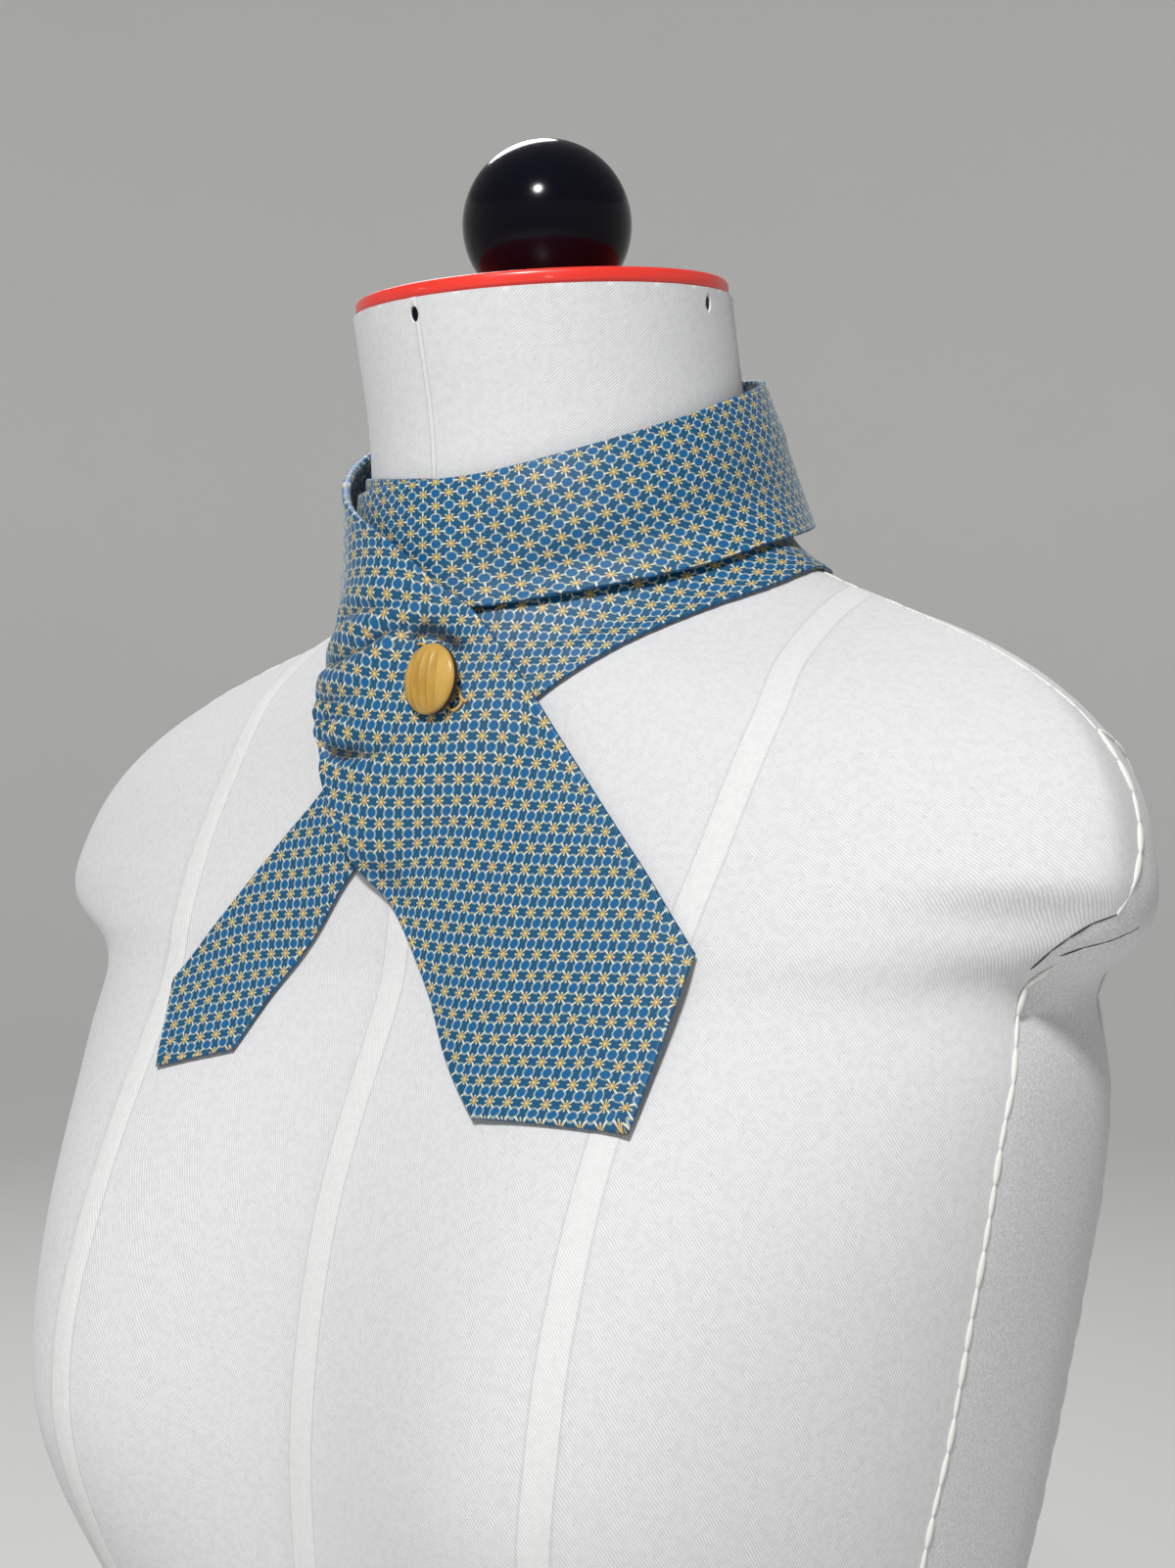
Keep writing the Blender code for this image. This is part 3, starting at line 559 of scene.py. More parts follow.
# %% Seam lines
PROBE_START = 0.40
SEAM_STEP = 0.003
PRINCESS_LEFT = (
    (0.1030, 0.0915), (0.1055, 0.108), (0.1084, 0.125), (0.1050, 0.1575), (0.0975, 0.195),
    (0.0955, 0.225), (0.0970, 0.270), (0.0950, 0.320), (0.0800, 0.400), (0.0660, 0.493), (0.0780, 0.583),
    (0.0880, 0.711),
)
PRINCESS_RIGHT = (
    (-0.0960, 0.0960), (-0.0905, 0.1130), (-0.0870, 0.1290), (-0.0895, 0.1580), (-0.0895, 0.1834),
    (-0.0856, 0.2204), (-0.0820, 0.2600), (-0.0817, 0.3038), (-0.0750, 0.400), (-0.0640, 0.493),
    (-0.0760, 0.583), (-0.0860, 0.711),
)
CENTRE_LINE = ((0.0, 0.006), (0.0, 0.711))
PRINCESS_BACK = (
    (0.096, 0.098), (0.088, 0.130), (0.080, 0.250), (0.060, 0.493), (0.078, 0.600), (0.080, 0.711),
)
SHOULDER = (
    (0.0620, 0.0220), (0.0799, 0.0191), (0.1058, 0.0133), (0.1390, 0.0050), (0.1592, -0.0001),
    (0.1760, -0.001),
)
SIDE_FRONT = (
    (-0.0195, 0.1847), (-0.0204, 0.1865), (-0.0204, 0.1898), (-0.0191, 0.1940), (-0.0214, 0.2018),
    (-0.0244, 0.2120), (-0.0282, 0.2280), (-0.0298, 0.2600), (-0.0309, 0.3002), (-0.0331, 0.3335),
    (-0.0300, 0.400), (-0.0280, 0.493), (-0.0340, 0.600), (-0.0360, 0.711),
)
SIDE_BACK = ((0.040, 0.1885), (0.045, 0.230), (0.043, 0.300), (0.036, 0.493), (0.046, 0.600), (0.050, 0.711))
ARMHOLE_FRONT = (
    (-0.0006, 0.1266), (-0.0008, 0.1313), (-0.0010, 0.1353), (-0.0014, 0.1447), (-0.0030, 0.1481),
    (-0.0069, 0.1560), (-0.0110, 0.1610), (-0.0142, 0.1653), (-0.0158, 0.1689), (-0.0167, 0.1715),
    (-0.0191, 0.1722), (-0.0215, 0.1742), (-0.0228, 0.1759), (-0.0244, 0.1797), (-0.0251, 0.1832),
    (-0.0245, 0.1851),
)
ARMPIT_FOLD = ((-0.0038, 0.1752), (-0.0107, 0.1772), (-0.0146, 0.1788), (-0.0189, 0.1801), (-0.0213, 0.1818))
ARMHOLE_BACK = (
    (0.002, 0.1266), (0.018, 0.132), (0.030, 0.143), (0.038, 0.158), (0.041, 0.174), (0.040, 0.1885),
)


def through(values, place):
    """Catmull-Rom value at a fractional place in a list of rows of numbers."""
    last = len(values) - 1
    i = min(int(place), last - 1)
    t = place - i
    before, start = values[max(i - 1, 0)], values[i]
    end, after = values[i + 1], values[min(i + 2, last)]
    return 0.5 * (
        2.0 * start
        + (end - before) * t
        + (2.0 * before - 5.0 * start + 4.0 * end - after) * t * t
        + (3.0 * start - before - 3.0 * end + after) * t * t * t
    )


def skin_of(thing):
    """Search tree of a mesh object."""
    points = [vertex.co.copy() for vertex in thing.data.vertices]
    return BVHTree.FromPolygons(points, [tuple(face.vertices) for face in thing.data.polygons])


form_skin = skin_of(cover)
PROBES = {
    "front": (lambda a, b: Vector((a, -PROBE_START, NECK_TOP - b)), Vector((0.0, 1.0, 0.0))),
    "back": (lambda a, b: Vector((a, PROBE_START, NECK_TOP - b)), Vector((0.0, -1.0, 0.0))),
    "left": (lambda a, b: Vector((PROBE_START, a, NECK_TOP - b)), Vector((-1.0, 0.0, 0.0))),
    "right": (lambda a, b: Vector((-PROBE_START, a, NECK_TOP - b)), Vector((1.0, 0.0, 0.0))),
    "above": (lambda a, b: Vector((a, b, NECK_TOP + PROBE_START)), Vector((0.0, 0.0, -1.0))),
}


def seam_line(spots, probe, step=SEAM_STEP):
    """Spots a step apart on the form's skin, each with the skin's outward direction there."""
    spots = np.array(spots)
    start, heading = PROBES[probe]
    found = []
    for i in range(len(spots) - 1):
        count = max(1, math.ceil(float(np.linalg.norm(spots[i + 1] - spots[i])) / step))
        for k in range(count + (i == len(spots) - 2)):
            spot, normal, _, _ = form_skin.ray_cast(start(*through(spots, i + k / count)), heading)
            if spot is not None:
                found.append((spot, normal))
    return found


def mirrored(spots):
    return [(-first, second) for first, second in spots]


# Each pressed seam has the direction in which its allowance lies.
LEFTWARD, RIGHTWARD = Vector((1.0, 0.0, 0.0)), Vector((-1.0, 0.0, 0.0))
pressed_seams = [
    (seam_line(CENTRE_LINE, "front"), LEFTWARD),
    (seam_line(CENTRE_LINE, "back"), RIGHTWARD),
    (seam_line(PRINCESS_LEFT, "front"), RIGHTWARD),
    (seam_line(PRINCESS_RIGHT, "front"), LEFTWARD),
    (seam_line(PRINCESS_BACK, "back"), RIGHTWARD),
    (seam_line(mirrored(PRINCESS_BACK), "back"), LEFTWARD),
]
# Each hand-sewn edge has its line, the length and radius of its puffs, its probes for the left and the
# right, and its paint. In the left armpit the sewing has sunk in: two slim dark pieces stand for the shade
# in its creases.
sewn_edges = {
    "side_fold_front": (SIDE_FRONT, 0.0085, 0.00085, ("left", "right"), folded_canvas),
    "side_fold_back": (SIDE_BACK, 0.0105, 0.00080, ("left", "right"), folded_canvas),
    "armhole_fold_front": (ARMHOLE_FRONT[:10], 0.0085, 0.00110, ("left", "right"), folded_canvas),
    "armhole_fold_back": (ARMHOLE_BACK, 0.0095, 0.00100, ("left", "right"), folded_canvas),
    "shoulder_fold": (SHOULDER, 0.0085, 0.00050, ("above", "above"), folded_canvas),
    "armpit_shade_upper": (ARMHOLE_FRONT[9:], 0.0060, 0.00035, ("left",), shaded_canvas),
    "armpit_shade_lower": (ARMPIT_FOLD, 0.0060, 0.00030, ("left",), shaded_canvas),
}
edge_count = sum(len(probes) for _, _, _, probes, _ in sewn_edges.values())
print("pressed seams:", len(pressed_seams), "sewn edges and creases:", edge_count)

# %% [markdown]
# ## Raising the seams
#
# The allowance under the cloth lifts it by 0.4 mm, and by less on the neck. The skin is too coarse for such
# a narrow step, so the faces near a seam are selected and subdivided again, and then their points are moved
# out. The distance from the middle of the allowance is kept on every point as an attribute, from which the
# material draws the band and its thin edges.

# %% Refine and raise
SEAM_RISE = 0.0004
SEAM_PLATEAU = 0.78       # share of the allowance that lies level
SEAM_SLOPE = 0.0008       # the cloth comes down over this width on the sewn side
NECK_ALLOWANCE = 0.0016
NECK_SEAM_RISE = 0.00012
NECK_CLOTH_DROP = 0.075
BEHIND_SEAM = 0.0045      # the skin is refined from this far behind a seam
NEAR_SEAM = 0.0115        # to this far over its allowance
FAR_FROM_SEAM = 0.05


def seam_distances(points):
    """Signed distance of each point from its nearest pressed seam: positive on the side of its allowance."""
    tree = KDTree(sum(len(line) for line, _ in pressed_seams))
    entries = []
    for line, side in pressed_seams:
        for k, (spot, normal) in enumerate(line):
            heading = line[min(k + 1, len(line) - 1)][0] - line[max(k - 1, 0)][0]
            across = heading.cross(normal).normalized()
            if across.dot(side) < 0.0:
                across = -across
            tree.insert(spot, len(entries))
            entries.append((spot, across))
    tree.balance()
    distances = []
    for point in points:
        _, index, gap = tree.find(point)
        spot, across = entries[index]
        distances.append((point - spot).dot(across) if gap < 2.0 * NEAR_SEAM else FAR_FROM_SEAM)
    return distances


def allowance_at(point):
    """The neck's seams are opened flat and trimmed, so their allowance is narrow."""
    return NECK_ALLOWANCE if NECK_TOP - point.z < NECK_CLOTH_DROP else ALLOWANCE


def seam_height(distance, width):
    rise = SEAM_RISE if width == ALLOWANCE else NECK_SEAM_RISE
    if distance < -SEAM_SLOPE or distance > width:
        return 0.0
    if distance < 0.0:
        return rise * (1.0 + distance / SEAM_SLOPE)
    share = max(0.0, distance / width - SEAM_PLATEAU) / (1.0 - SEAM_PLATEAU)
    return rise * (1.0 - share * share * (3.0 - 2.0 * share))


only(cover)
near_seams = seam_distances([face.center for face in cover.data.polygons])
for face, distance in zip(cover.data.polygons, near_seams):
    face.select = -BEHIND_SEAM < distance < NEAR_SEAM
bpy.ops.object.mode_set(mode="EDIT")
bpy.ops.mesh.select_mode(type="FACE")
bpy.ops.mesh.subdivide(number_cuts=2, smoothness=0.0)
bpy.ops.object.mode_set(mode="OBJECT")
distances = seam_distances([vertex.co for vertex in cover.data.vertices])
normals = [vertex.normal.copy() for vertex in cover.data.vertices]
from_middle = []
for vertex, normal, distance in zip(cover.data.vertices, normals, distances):
    width = allowance_at(vertex.co)
    vertex.co += normal * seam_height(distance, width)
    from_middle.append(min(abs(distance - width / 2.0) + (ALLOWANCE - width) / 2.0, NEAR_SEAM))
cover.data.attributes.new("seam", "FLOAT", "POINT").data.foreach_set("value", from_middle)
close_points = sum(abs(distance) < NEAR_SEAM for distance in distances)
print("cover:", len(cover.data.polygons), "faces,", close_points, "points near a seam")

# %% [markdown]
# ## The cloth's way over the form
#
# Wales need to know where they are on the cloth. On the body the wales fall steeply towards the wearer's
# left; on the neck they rise. The first coordinate runs across the wales and the second along them, in
# metres. The side panels and the ends of the shoulders are felted cloth, and an attribute marks them.

# %% Coordinates and panels of the cover
BODY_WALE_SLANT = math.radians(30.0)      # from the upright
NECK_WALE_SLANT = math.radians(48.0)
NECK_RADIUS = 0.058
BODY_HALF = (0.165, 0.115)                # half width and half depth of the body, as an oval
FELT_FROM = 0.09          # no felted cloth lies nearer the middle than this
TURNS = np.linspace(-math.pi, math.pi, 721)
ARCS = np.concatenate(([0.0], np.cumsum(np.hypot(
    BODY_HALF[0] * np.diff(np.sin(TURNS)), BODY_HALF[1] * np.diff(np.cos(TURNS))
))))


def cover_place(point, side, of_neck):
    """Place on the cloth: round the neck or round the body's oval, and along the height.

    The cloth meets itself at the middle of the back, so a face there belongs wholly to its side, 1 or -1.
    """
    half = (1.0, 1.0) if of_neck else BODY_HALF
    turn = math.atan2(point.x / half[0], -point.y / half[1])
    if turn * side < 0.0 and point.y > 0.0:
        turn = side * math.pi
    if of_neck:
        sideways = turn * NECK_RADIUS
        slant = NECK_WALE_SLANT
    else:
        sideways = float(np.interp(turn, TURNS, ARCS)) - ARCS[-1] / 2.0
        slant = -BODY_WALE_SLANT
    return (
        sideways * math.cos(slant) - point.z * math.sin(slant),
        sideways * math.sin(slant) + point.z * math.cos(slant),
    )


def felt_share(point):
    """1 on the side panels and on the ends of the shoulders, 0 elsewhere."""
    drop = NECK_TOP - point.z
    if drop < ARMHOLE_FRONT[0][1]:
        return 0.0
    edge_front = ARMHOLE_FRONT if drop < SIDE_FRONT[0][1] else SIDE_FRONT
    edge_back = ARMHOLE_BACK if drop < SIDE_BACK[0][1] else SIDE_BACK
    front = np.interp(drop, [d for _, d in edge_front], [y for y, _ in edge_front])
    back = np.interp(drop, [d for _, d in edge_back], [y for y, _ in edge_back])
    return float(front < point.y < back and abs(point.x) > FELT_FROM)


places = cover.data.uv_layers.new(name="cloth")
for face in cover.data.polygons:
    face_side = math.copysign(1.0, face.center.x)
    neck_cloth = NECK_TOP - face.center.z < NECK_CLOTH_DROP
    for loop, corner in zip(face.loop_indices, face.vertices):
        places.data[loop].uv = cover_place(cover.data.vertices[corner].co, face_side, neck_cloth)
felted = [felt_share(vertex.co) for vertex in cover.data.vertices]
cover.data.attributes.new("felt", "FLOAT", "POINT").data.foreach_set("value", felted)
print("felted share of the points:", round(sum(felted) / len(felted), 2))

# %% [markdown]
# ## Nail holes
#
# The neck's top leans forward, and so does all that stands on it. Four nails hold the disc to the neck:
# their holes show as dark ovals a little below the leaning rim. Each hole is cut with a slim oval cylinder,
# and a shorter black one is the nail inside it.

# %% Nail holes
NECK_LEAN = math.radians(5.4)
NECK_MIDDLE = -0.0070
NAIL_RADIUS = 0.0015
NAIL_OVAL = 1.5           # height of a hole for its width
NAIL_FIT = 0.98           # width of a nail for the width of its hole
NAIL_DROP = 0.0045
HOLE_DEPTH = 0.0040
NAIL_SINK = 0.0006        # from the cloth down to the nail
on_neck = Matrix.Translation((0.0, NECK_MIDDLE, NECK_TOP)) @ Matrix.Rotation(NECK_LEAN, 4, "X")


def oval_pin(radius, middle, way, depth):
    return add_mesh(
        bpy.ops.mesh.primitive_cylinder_add, vertices=20, radius=radius, depth=depth, location=middle,
        scale=(1.0, NAIL_OVAL, 1.0), rotation=way.to_track_quat("Z", "Y").to_euler(),
    )


nails = []
for turn in range(4):
    angle = turn * math.pi / 2.0
    outward = Vector((math.sin(angle), -math.cos(angle), 0.0))
    start = on_neck @ (outward * PROBE_START - Vector((0.0, NECK_MIDDLE, NAIL_DROP)))
    spot, normal, _, _ = form_skin.ray_cast(start, -(on_neck.to_3x3() @ outward))
    hole = oval_pin(NAIL_RADIUS, spot, normal, 2.0 * HOLE_DEPTH)
    modify(cover, "BOOLEAN", object=hole, operation="DIFFERENCE")
    bpy.data.objects.remove(hole)
    long = HOLE_DEPTH - NAIL_SINK
    nails.append(oval_pin(NAIL_FIT * NAIL_RADIUS, spot - normal * (NAIL_SINK + long / 2.0), normal, long))
nails = join_all(nails)
place_mesh(nails, Matrix())
finish_piece(nails, "disc_nails", "black_gloss", lacquer, angle=40.0)
finish_piece(cover, "form_cover", "canvas", canvas, "form_body", angle=40.0)

# %% [markdown]
# ## Hand-sewn folded edges
#
# The front panels are turned under and slip-stitched to the side panels. Between two stitches the folded
# edge puffs up a little, so the edge is a row of long, slim, slightly bowed puffs. A puff is a stretched
# sphere. Puffs are set end to end along the line, and then they become one piece.

# %% Folded edges
PUFF_CHANGE = 0.16        # how much thicker or thinner the puffs are, in turn
PUFF_TURN = 2.3           # angle by which that change goes on from one puff to the next
PUFF_HEIGHT = 0.7         # half height of a puff, as a share of its half width
PUFF_REACH = 0.54         # half length of a puff, as a share of its stitch: more than half, so puffs meet
PUFF_RISE = 0.25          # height of its middle over the skin, as a share of its half width
PUFF_PROBES = 0.001       # a sewn edge is probed at this step


def puff(start, end, normal, radius):
    bead = add_mesh(bpy.ops.mesh.primitive_uv_sphere_add, segments=10, ring_count=8, radius=1.0)
    heading = end - start
    side = normal.cross(heading).normalized()
    turn = Matrix((side, normal, heading.normalized())).transposed().to_4x4()
    size = Matrix.Diagonal((radius, PUFF_HEIGHT * radius, PUFF_REACH * heading.length, 1.0))
    middle = (start + end) / 2.0 + normal * PUFF_RISE * radius
    bead.data.transform(Matrix.Translation(middle) @ turn @ size)
    return bead


for name, (spots, size, radius, probes, paint) in sewn_edges.items():
    for side, probe in zip(("left", "right"), probes):
        own_spots = mirrored(spots) if (side, probe) == ("right", "above") else spots
        line = seam_line(own_spots, probe, PUFF_PROBES)
        lengths = np.cumsum([0.0] + [(b[0] - a[0]).length for a, b in zip(line, line[1:])])
        count = max(2, round(float(lengths[-1]) / size))
        stops = [int(np.argmin(abs(lengths - lengths[-1] * k / count))) for k in range(count + 1)]
        beads = []
        for k, (a, b) in enumerate(zip(stops, stops[1:])):
            thick = radius * (1.0 + PUFF_CHANGE * math.sin(PUFF_TURN * k))
            beads.append(puff(line[a][0], line[b][0], line[a][1], thick))
        finish_piece(join_all(beads), f"{name}_{side}", "canvas", paint)

# %% [markdown]
# ## The disc and the ball
#
# The disc and the ball are made upright at the origin and then moved by the matrix of the leaning neck. The
# disc is a cylinder whose rim is rounded by a bevel. The ball is a sphere, cut flat where it stands.

# %% Disc and ball
CAP_RADIUS = 0.0550
CAP_THICKNESS = 0.0042
CAP_EDGE = 0.0014
KNOB_RADIUS = 0.0251
KNOB_RISE = 0.0250
KNOB_BACK = 0.0043
SEAT_GAP = 0.0003

cap = add_mesh(
    bpy.ops.mesh.primitive_cylinder_add, vertices=128, radius=CAP_RADIUS, depth=CAP_THICKNESS,
    location=(0.0, 0.0, SEAT_GAP + CAP_THICKNESS / 2.0),
)
modify(cap, "BEVEL", width=CAP_EDGE, segments=5, limit_method="ANGLE", angle_limit=RIM_ANGLE)
place_mesh(cap, on_neck)
finish_piece(cap, "red_disc", "red_plastic", red, "neck_cap", angle=50.0)

ball = add_mesh(
    bpy.ops.mesh.primitive_uv_sphere_add, segments=96, ring_count=64, radius=KNOB_RADIUS,
    location=(0.0, KNOB_BACK, KNOB_RISE),
)
bpy.ops.object.transform_apply(location=True, rotation=True, scale=True)
bpy.ops.object.mode_set(mode="EDIT")
bpy.ops.mesh.select_all(action="SELECT")
bpy.ops.mesh.bisect(
    plane_co=(0.0, 0.0, CAP_THICKNESS + 2.0 * SEAT_GAP), plane_no=(0.0, 0.0, 1.0),
    use_fill=True, clear_inner=True,
)
bpy.ops.object.mode_set(mode="OBJECT")
place_mesh(ball, on_neck)
finish_piece(ball, "black_ball", "black_gloss", lacquer, "neck_knob", angle=50.0)

# %% [markdown]
# ## The tie's route
#
# Each row of a table is one section across the tie: where its top edge and its low edge lie, by the angle
# round the neck from the front, the radius from the neck's axis and the drop below its top. The first turn
# starts under the second on the right side of the neck, goes round the back and the left to the throat, and
# ends in the narrow tip. The second turn starts on the right side, goes once round and crosses its own
# start as the wide end.

# %% Route tables
TOP, LOW = slice(0, 3), slice(3, 6)       # angle, radius and drop of the two edges
FIRST_TURN = (
    (264.0, 0.0580, 0.0440, 264.0, 0.0710, 0.0830),
    (230.0, 0.0580, 0.0410, 230.0, 0.0800, 0.0790),
    (205.0, 0.0585, 0.0370, 205.0, 0.0780, 0.0770),
    (180.0, 0.0600, 0.0350, 180.0, 0.0745, 0.0765),
    (155.0, 0.0585, 0.0360, 155.0, 0.0780, 0.0760),
    (130.0, 0.0580, 0.0390, 130.0, 0.0830, 0.0760),
    (105.0, 0.0580, 0.0440, 105.0, 0.0850, 0.0775),
    (84.0, 0.0585, 0.0500, 86.6, 0.0831, 0.0832),
    (62.0, 0.0585, 0.0580, 72.3, 0.0762, 0.0908),
    (42.0, 0.0585, 0.0670, 58.6, 0.0724, 0.0980),
    (24.0, 0.0585, 0.0780, 47.6, 0.0710, 0.1058),
    (7.6, 0.0605, 0.0940, 35.0, 0.0709, 0.1168),
    (-7.5, 0.0666, 0.1147, 13.1, 0.0712, 0.1407),
    (-24.4, 0.0741, 0.1410, -9.9, 0.0739, 0.1630),
    (-33.3, 0.0838, 0.1563, -18.8, 0.0807, 0.1831),
    (-40.2, 0.0975, 0.1754, -24.7, 0.0889, 0.1979),
    (-45.2, 0.1135, 0.1967, -26.4, 0.1003, 0.2142),
)
NARROW_TIP = (-37.1, 0.1189, 0.2204)
INNER_PLY = (
    (-95.7, 0.0580, 0.0440, -95.7, 0.0600, 0.0720),
    (-70.0, 0.0580, 0.0465, -70.0, 0.0590, 0.0730),
    (-46.0, 0.0580, 0.0498, -46.0, 0.0590, 0.0740),
    (-20.0, 0.0580, 0.0530, -20.0, 0.0590, 0.0760),
    (0.0, 0.0580, 0.0547, 0.0, 0.0590, 0.0770),
    (10.0, 0.0580, 0.0555, 8.0, 0.0590, 0.0770),
)
SECOND_TURN = (
    (-96.0, 0.0580, 0.0480, -96.0, 0.0620, 0.0860),
    (-70.0, 0.0580, 0.0510, -70.0, 0.0610, 0.0890),
    (-46.0, 0.0580, 0.0545, -46.0, 0.0600, 0.0915),
    (-20.0, 0.0578, 0.0553, -20.0, 0.0600, 0.0925),
    (0.0, 0.0578, 0.0554, 0.0, 0.0600, 0.0922),
    (21.0, 0.0577, 0.0541, 18.0, 0.0612, 0.0918),
    (47.0, 0.0578, 0.0477, 43.0, 0.0660, 0.0880),
    (76.0, 0.0581, 0.0380, 71.0, 0.0722, 0.0812),
    (95.0, 0.0582, 0.0310, 95.0, 0.0757, 0.0724),
    (123.0, 0.0599, 0.0220, 123.0, 0.0764, 0.0653),
    (151.0, 0.0617, 0.0160, 151.0, 0.0767, 0.0605),
    (180.0, 0.0622, 0.0135, 180.0, 0.0762, 0.0590),
    (209.0, 0.0617, 0.0160, 209.0, 0.0757, 0.0610),
    (237.0, 0.0617, 0.0220, 237.0, 0.0757, 0.0700),
    (264.0, 0.0632, 0.0295, 264.0, 0.0762, 0.0800),
    (285.0, 0.0627, 0.0375, 285.0, 0.0690, 0.0880),
    (310.0, 0.0622, 0.0503, 308.0, 0.0630, 0.0965),
    (328.0, 0.0622, 0.0600, 322.0, 0.0645, 0.1010),
    (345.0, 0.0624, 0.0681, 328.0, 0.0690, 0.1070),
    (358.6, 0.0632, 0.0765, 333.0, 0.0737, 0.1200),
    (367.6, 0.0634, 0.0841, 338.0, 0.0753, 0.1310),
    (378.0, 0.0634, 0.0919, 341.5, 0.0746, 0.1455),
    (387.6, 0.0672, 0.1043, 351.0, 0.0741, 0.1625),
    (395.4, 0.0739, 0.1170, 362.4, 0.0730, 0.1745),
    (404.2, 0.0866, 0.1373, 374.0, 0.0797, 0.1950),
    (411.1, 0.1060, 0.1597, 382.0, 0.0942, 0.2125),
    (415.5, 0.1255, 0.1820, 388.4, 0.1086, 0.2249),
)
WIDE_TIP = (407.1, 0.1347, 0.2251)
BLADE_START = 14          # row of the second turn from which it is laid over its own start
print("rows:", len(FIRST_TURN), len(INNER_PLY), len(SECOND_TURN))

# %% [markdown]
# ## From a route to a grid of points
#
# A strip of cloth is a grid: rows follow each other along the tie, and each row runs from the top edge to
# the low edge. Extra rows and columns lie close to the edges, where the folded cloth is rounded. Beside its
# place in space, each point gets its place on the flat cloth. A row may cross the tie at a slant, so its
# points differ in their place along the tie too. Where bias-cut silk is pulled tight it grows longer and
# narrower, so the flat cloth is a little shorter and wider than the wound strip.

# %% Strip grids
CLOTH_STEP = 0.0011
RIM_STEPS = (0.0, 0.0001, 0.00035, 0.0007, 0.0012)
TIP_ROWS = 1.5            # rows over which the strip is drawn to its point
TIP_RAMP = 1.5


def around_neck(angle, radius, drop):
    turn = math.radians(angle)
    return np.array((radius * math.sin(turn), -radius * math.cos(turn), NECK_TOP - drop))


def with_rims(size, count_step):
    """Places from 0 to 1 across a size: close together at both ends, a step apart between."""
    rim = [step / size for step in RIM_STEPS]
    inner = np.linspace(rim[-1], 1.0 - rim[-1], max(2, round(size * (1.0 - 2.0 * rim[-1]) / count_step) + 1))
    return np.concatenate((rim[:-1], inner, [1.0 - place for place in reversed(rim[:-1])]))


def between(pairs, places):
    """Straight-line values at some places, from a table of (place, value) pairs."""
    return np.interp(places, *zip(*pairs))


def evened(values, reach=9, rounds=3):
    """Running mean along a strip, with both end values held."""
    for _ in range(rounds):
        index = np.clip(np.arange(len(values))[:, None] + np.arange(-reach, reach + 1), 0, len(values) - 1)
        values = values[index].mean(axis=1)
    return values


def strip_grid(table, pulls, tip=None):
    """Points of a strip and their places on the flat cloth; pulls gives (row, stretch along the tie)."""
    rows = np.array(table)
    last = len(rows) - 1
    ends = [(around_neck(*row[TOP]), around_neck(*row[LOW])) for row in rows]
    middles = np.array([(top + low) / 2.0 for top, low in ends])
    lengths = np.linalg.norm(np.diff(middles, axis=0), axis=1)
    total = float(lengths.sum())
    row_at = np.concatenate(([0.0], np.cumsum(lengths))) / total
    places = np.interp(with_rims(total, CLOTH_STEP), row_at, np.arange(last + 1))
    shares = with_rims(float(np.mean([np.linalg.norm(low - top) for top, low in ends])), CLOTH_STEP)
    sections = [through(rows, place) for place in places]
    tops = np.array([around_neck(*section[TOP]) for section in sections])
    lows = np.array([around_neck(*section[LOW]) for section in sections])
    grid = tops[:, None] + (lows - tops)[:, None] * shares[None, :, None]
    pull = between(pulls, places)
    middle = (tops + lows) / 2.0
    steps = np.linalg.norm(np.diff(middle, axis=0), axis=1)
    along = np.concatenate(([0.0], np.cumsum(2.0 * steps / (pull[1:] + pull[:-1]))))
    heading = np.gradient(middle, axis=0)
    heading /= np.linalg.norm(heading, axis=1, keepdims=True)
    slant = evened(np.sum((lows - tops) * heading, axis=1))
    width = evened(np.linalg.norm(np.cross(lows - tops, heading), axis=1)) * pull
    from_middle = shares[None, :] - 0.5
    lengthwise = along[:, None] + (slant / pull)[:, None] * from_middle
    flat = np.stack((width[:, None] * from_middle, lengthwise), axis=2)
    if tip:
        reach = around_neck(*tip) - middle[-1]
        ramp = np.clip((places - last + TIP_ROWS) / TIP_ROWS, 0.0, 1.0) ** TIP_RAMP
        drawn = ramp[:, None] * (1.0 - abs(2.0 * shares - 1.0))
        grid = grid + drawn[:, :, None] * reach
        side = lows[-1] - tops[-1]
        side -= heading[-1] * np.dot(side, heading[-1])
        flat[:, :, 0] += drawn * np.dot(reach, side / np.linalg.norm(side))
        flat[:, :, 1] += drawn * np.dot(reach, heading[-1])
    return {"grid": grid, "flat": flat, "places": places, "shares": shares}


strips = {
    "first_turn": strip_grid(FIRST_TURN, ((0, 1.14), (9, 1.14), (13, 1.0)), NARROW_TIP),
    "inner_fold": strip_grid(INNER_PLY, ((0, 1.14), (5, 1.14))),
    "second_turn": strip_grid(SECOND_TURN, ((0, 1.14), (16, 1.12), (21, 0.96)), WIDE_TIP),
}
for name, strip in strips.items():
    flat_length = float(np.ptp(strip["flat"][:, :, 1]))
    print(name, "grid", strip["grid"].shape[:2], "flat length", round(flat_length, 3))

# %% [markdown]
# ## Folds
#
# The wide end turns round the throat while it is drawn towards the button, and this pulls soft folds into
# it: ridges with dark hollows between them, all running from its low edge on the right of the neck towards
# the button. Each is a curve through a few spots, given as a row of the second turn and a share of the
# width from the top edge. It is strongest between its two ends and fades towards them. Six shallow ones
# cross the back and the right side of the neck, and two lie on the first turn, in rows of its own.

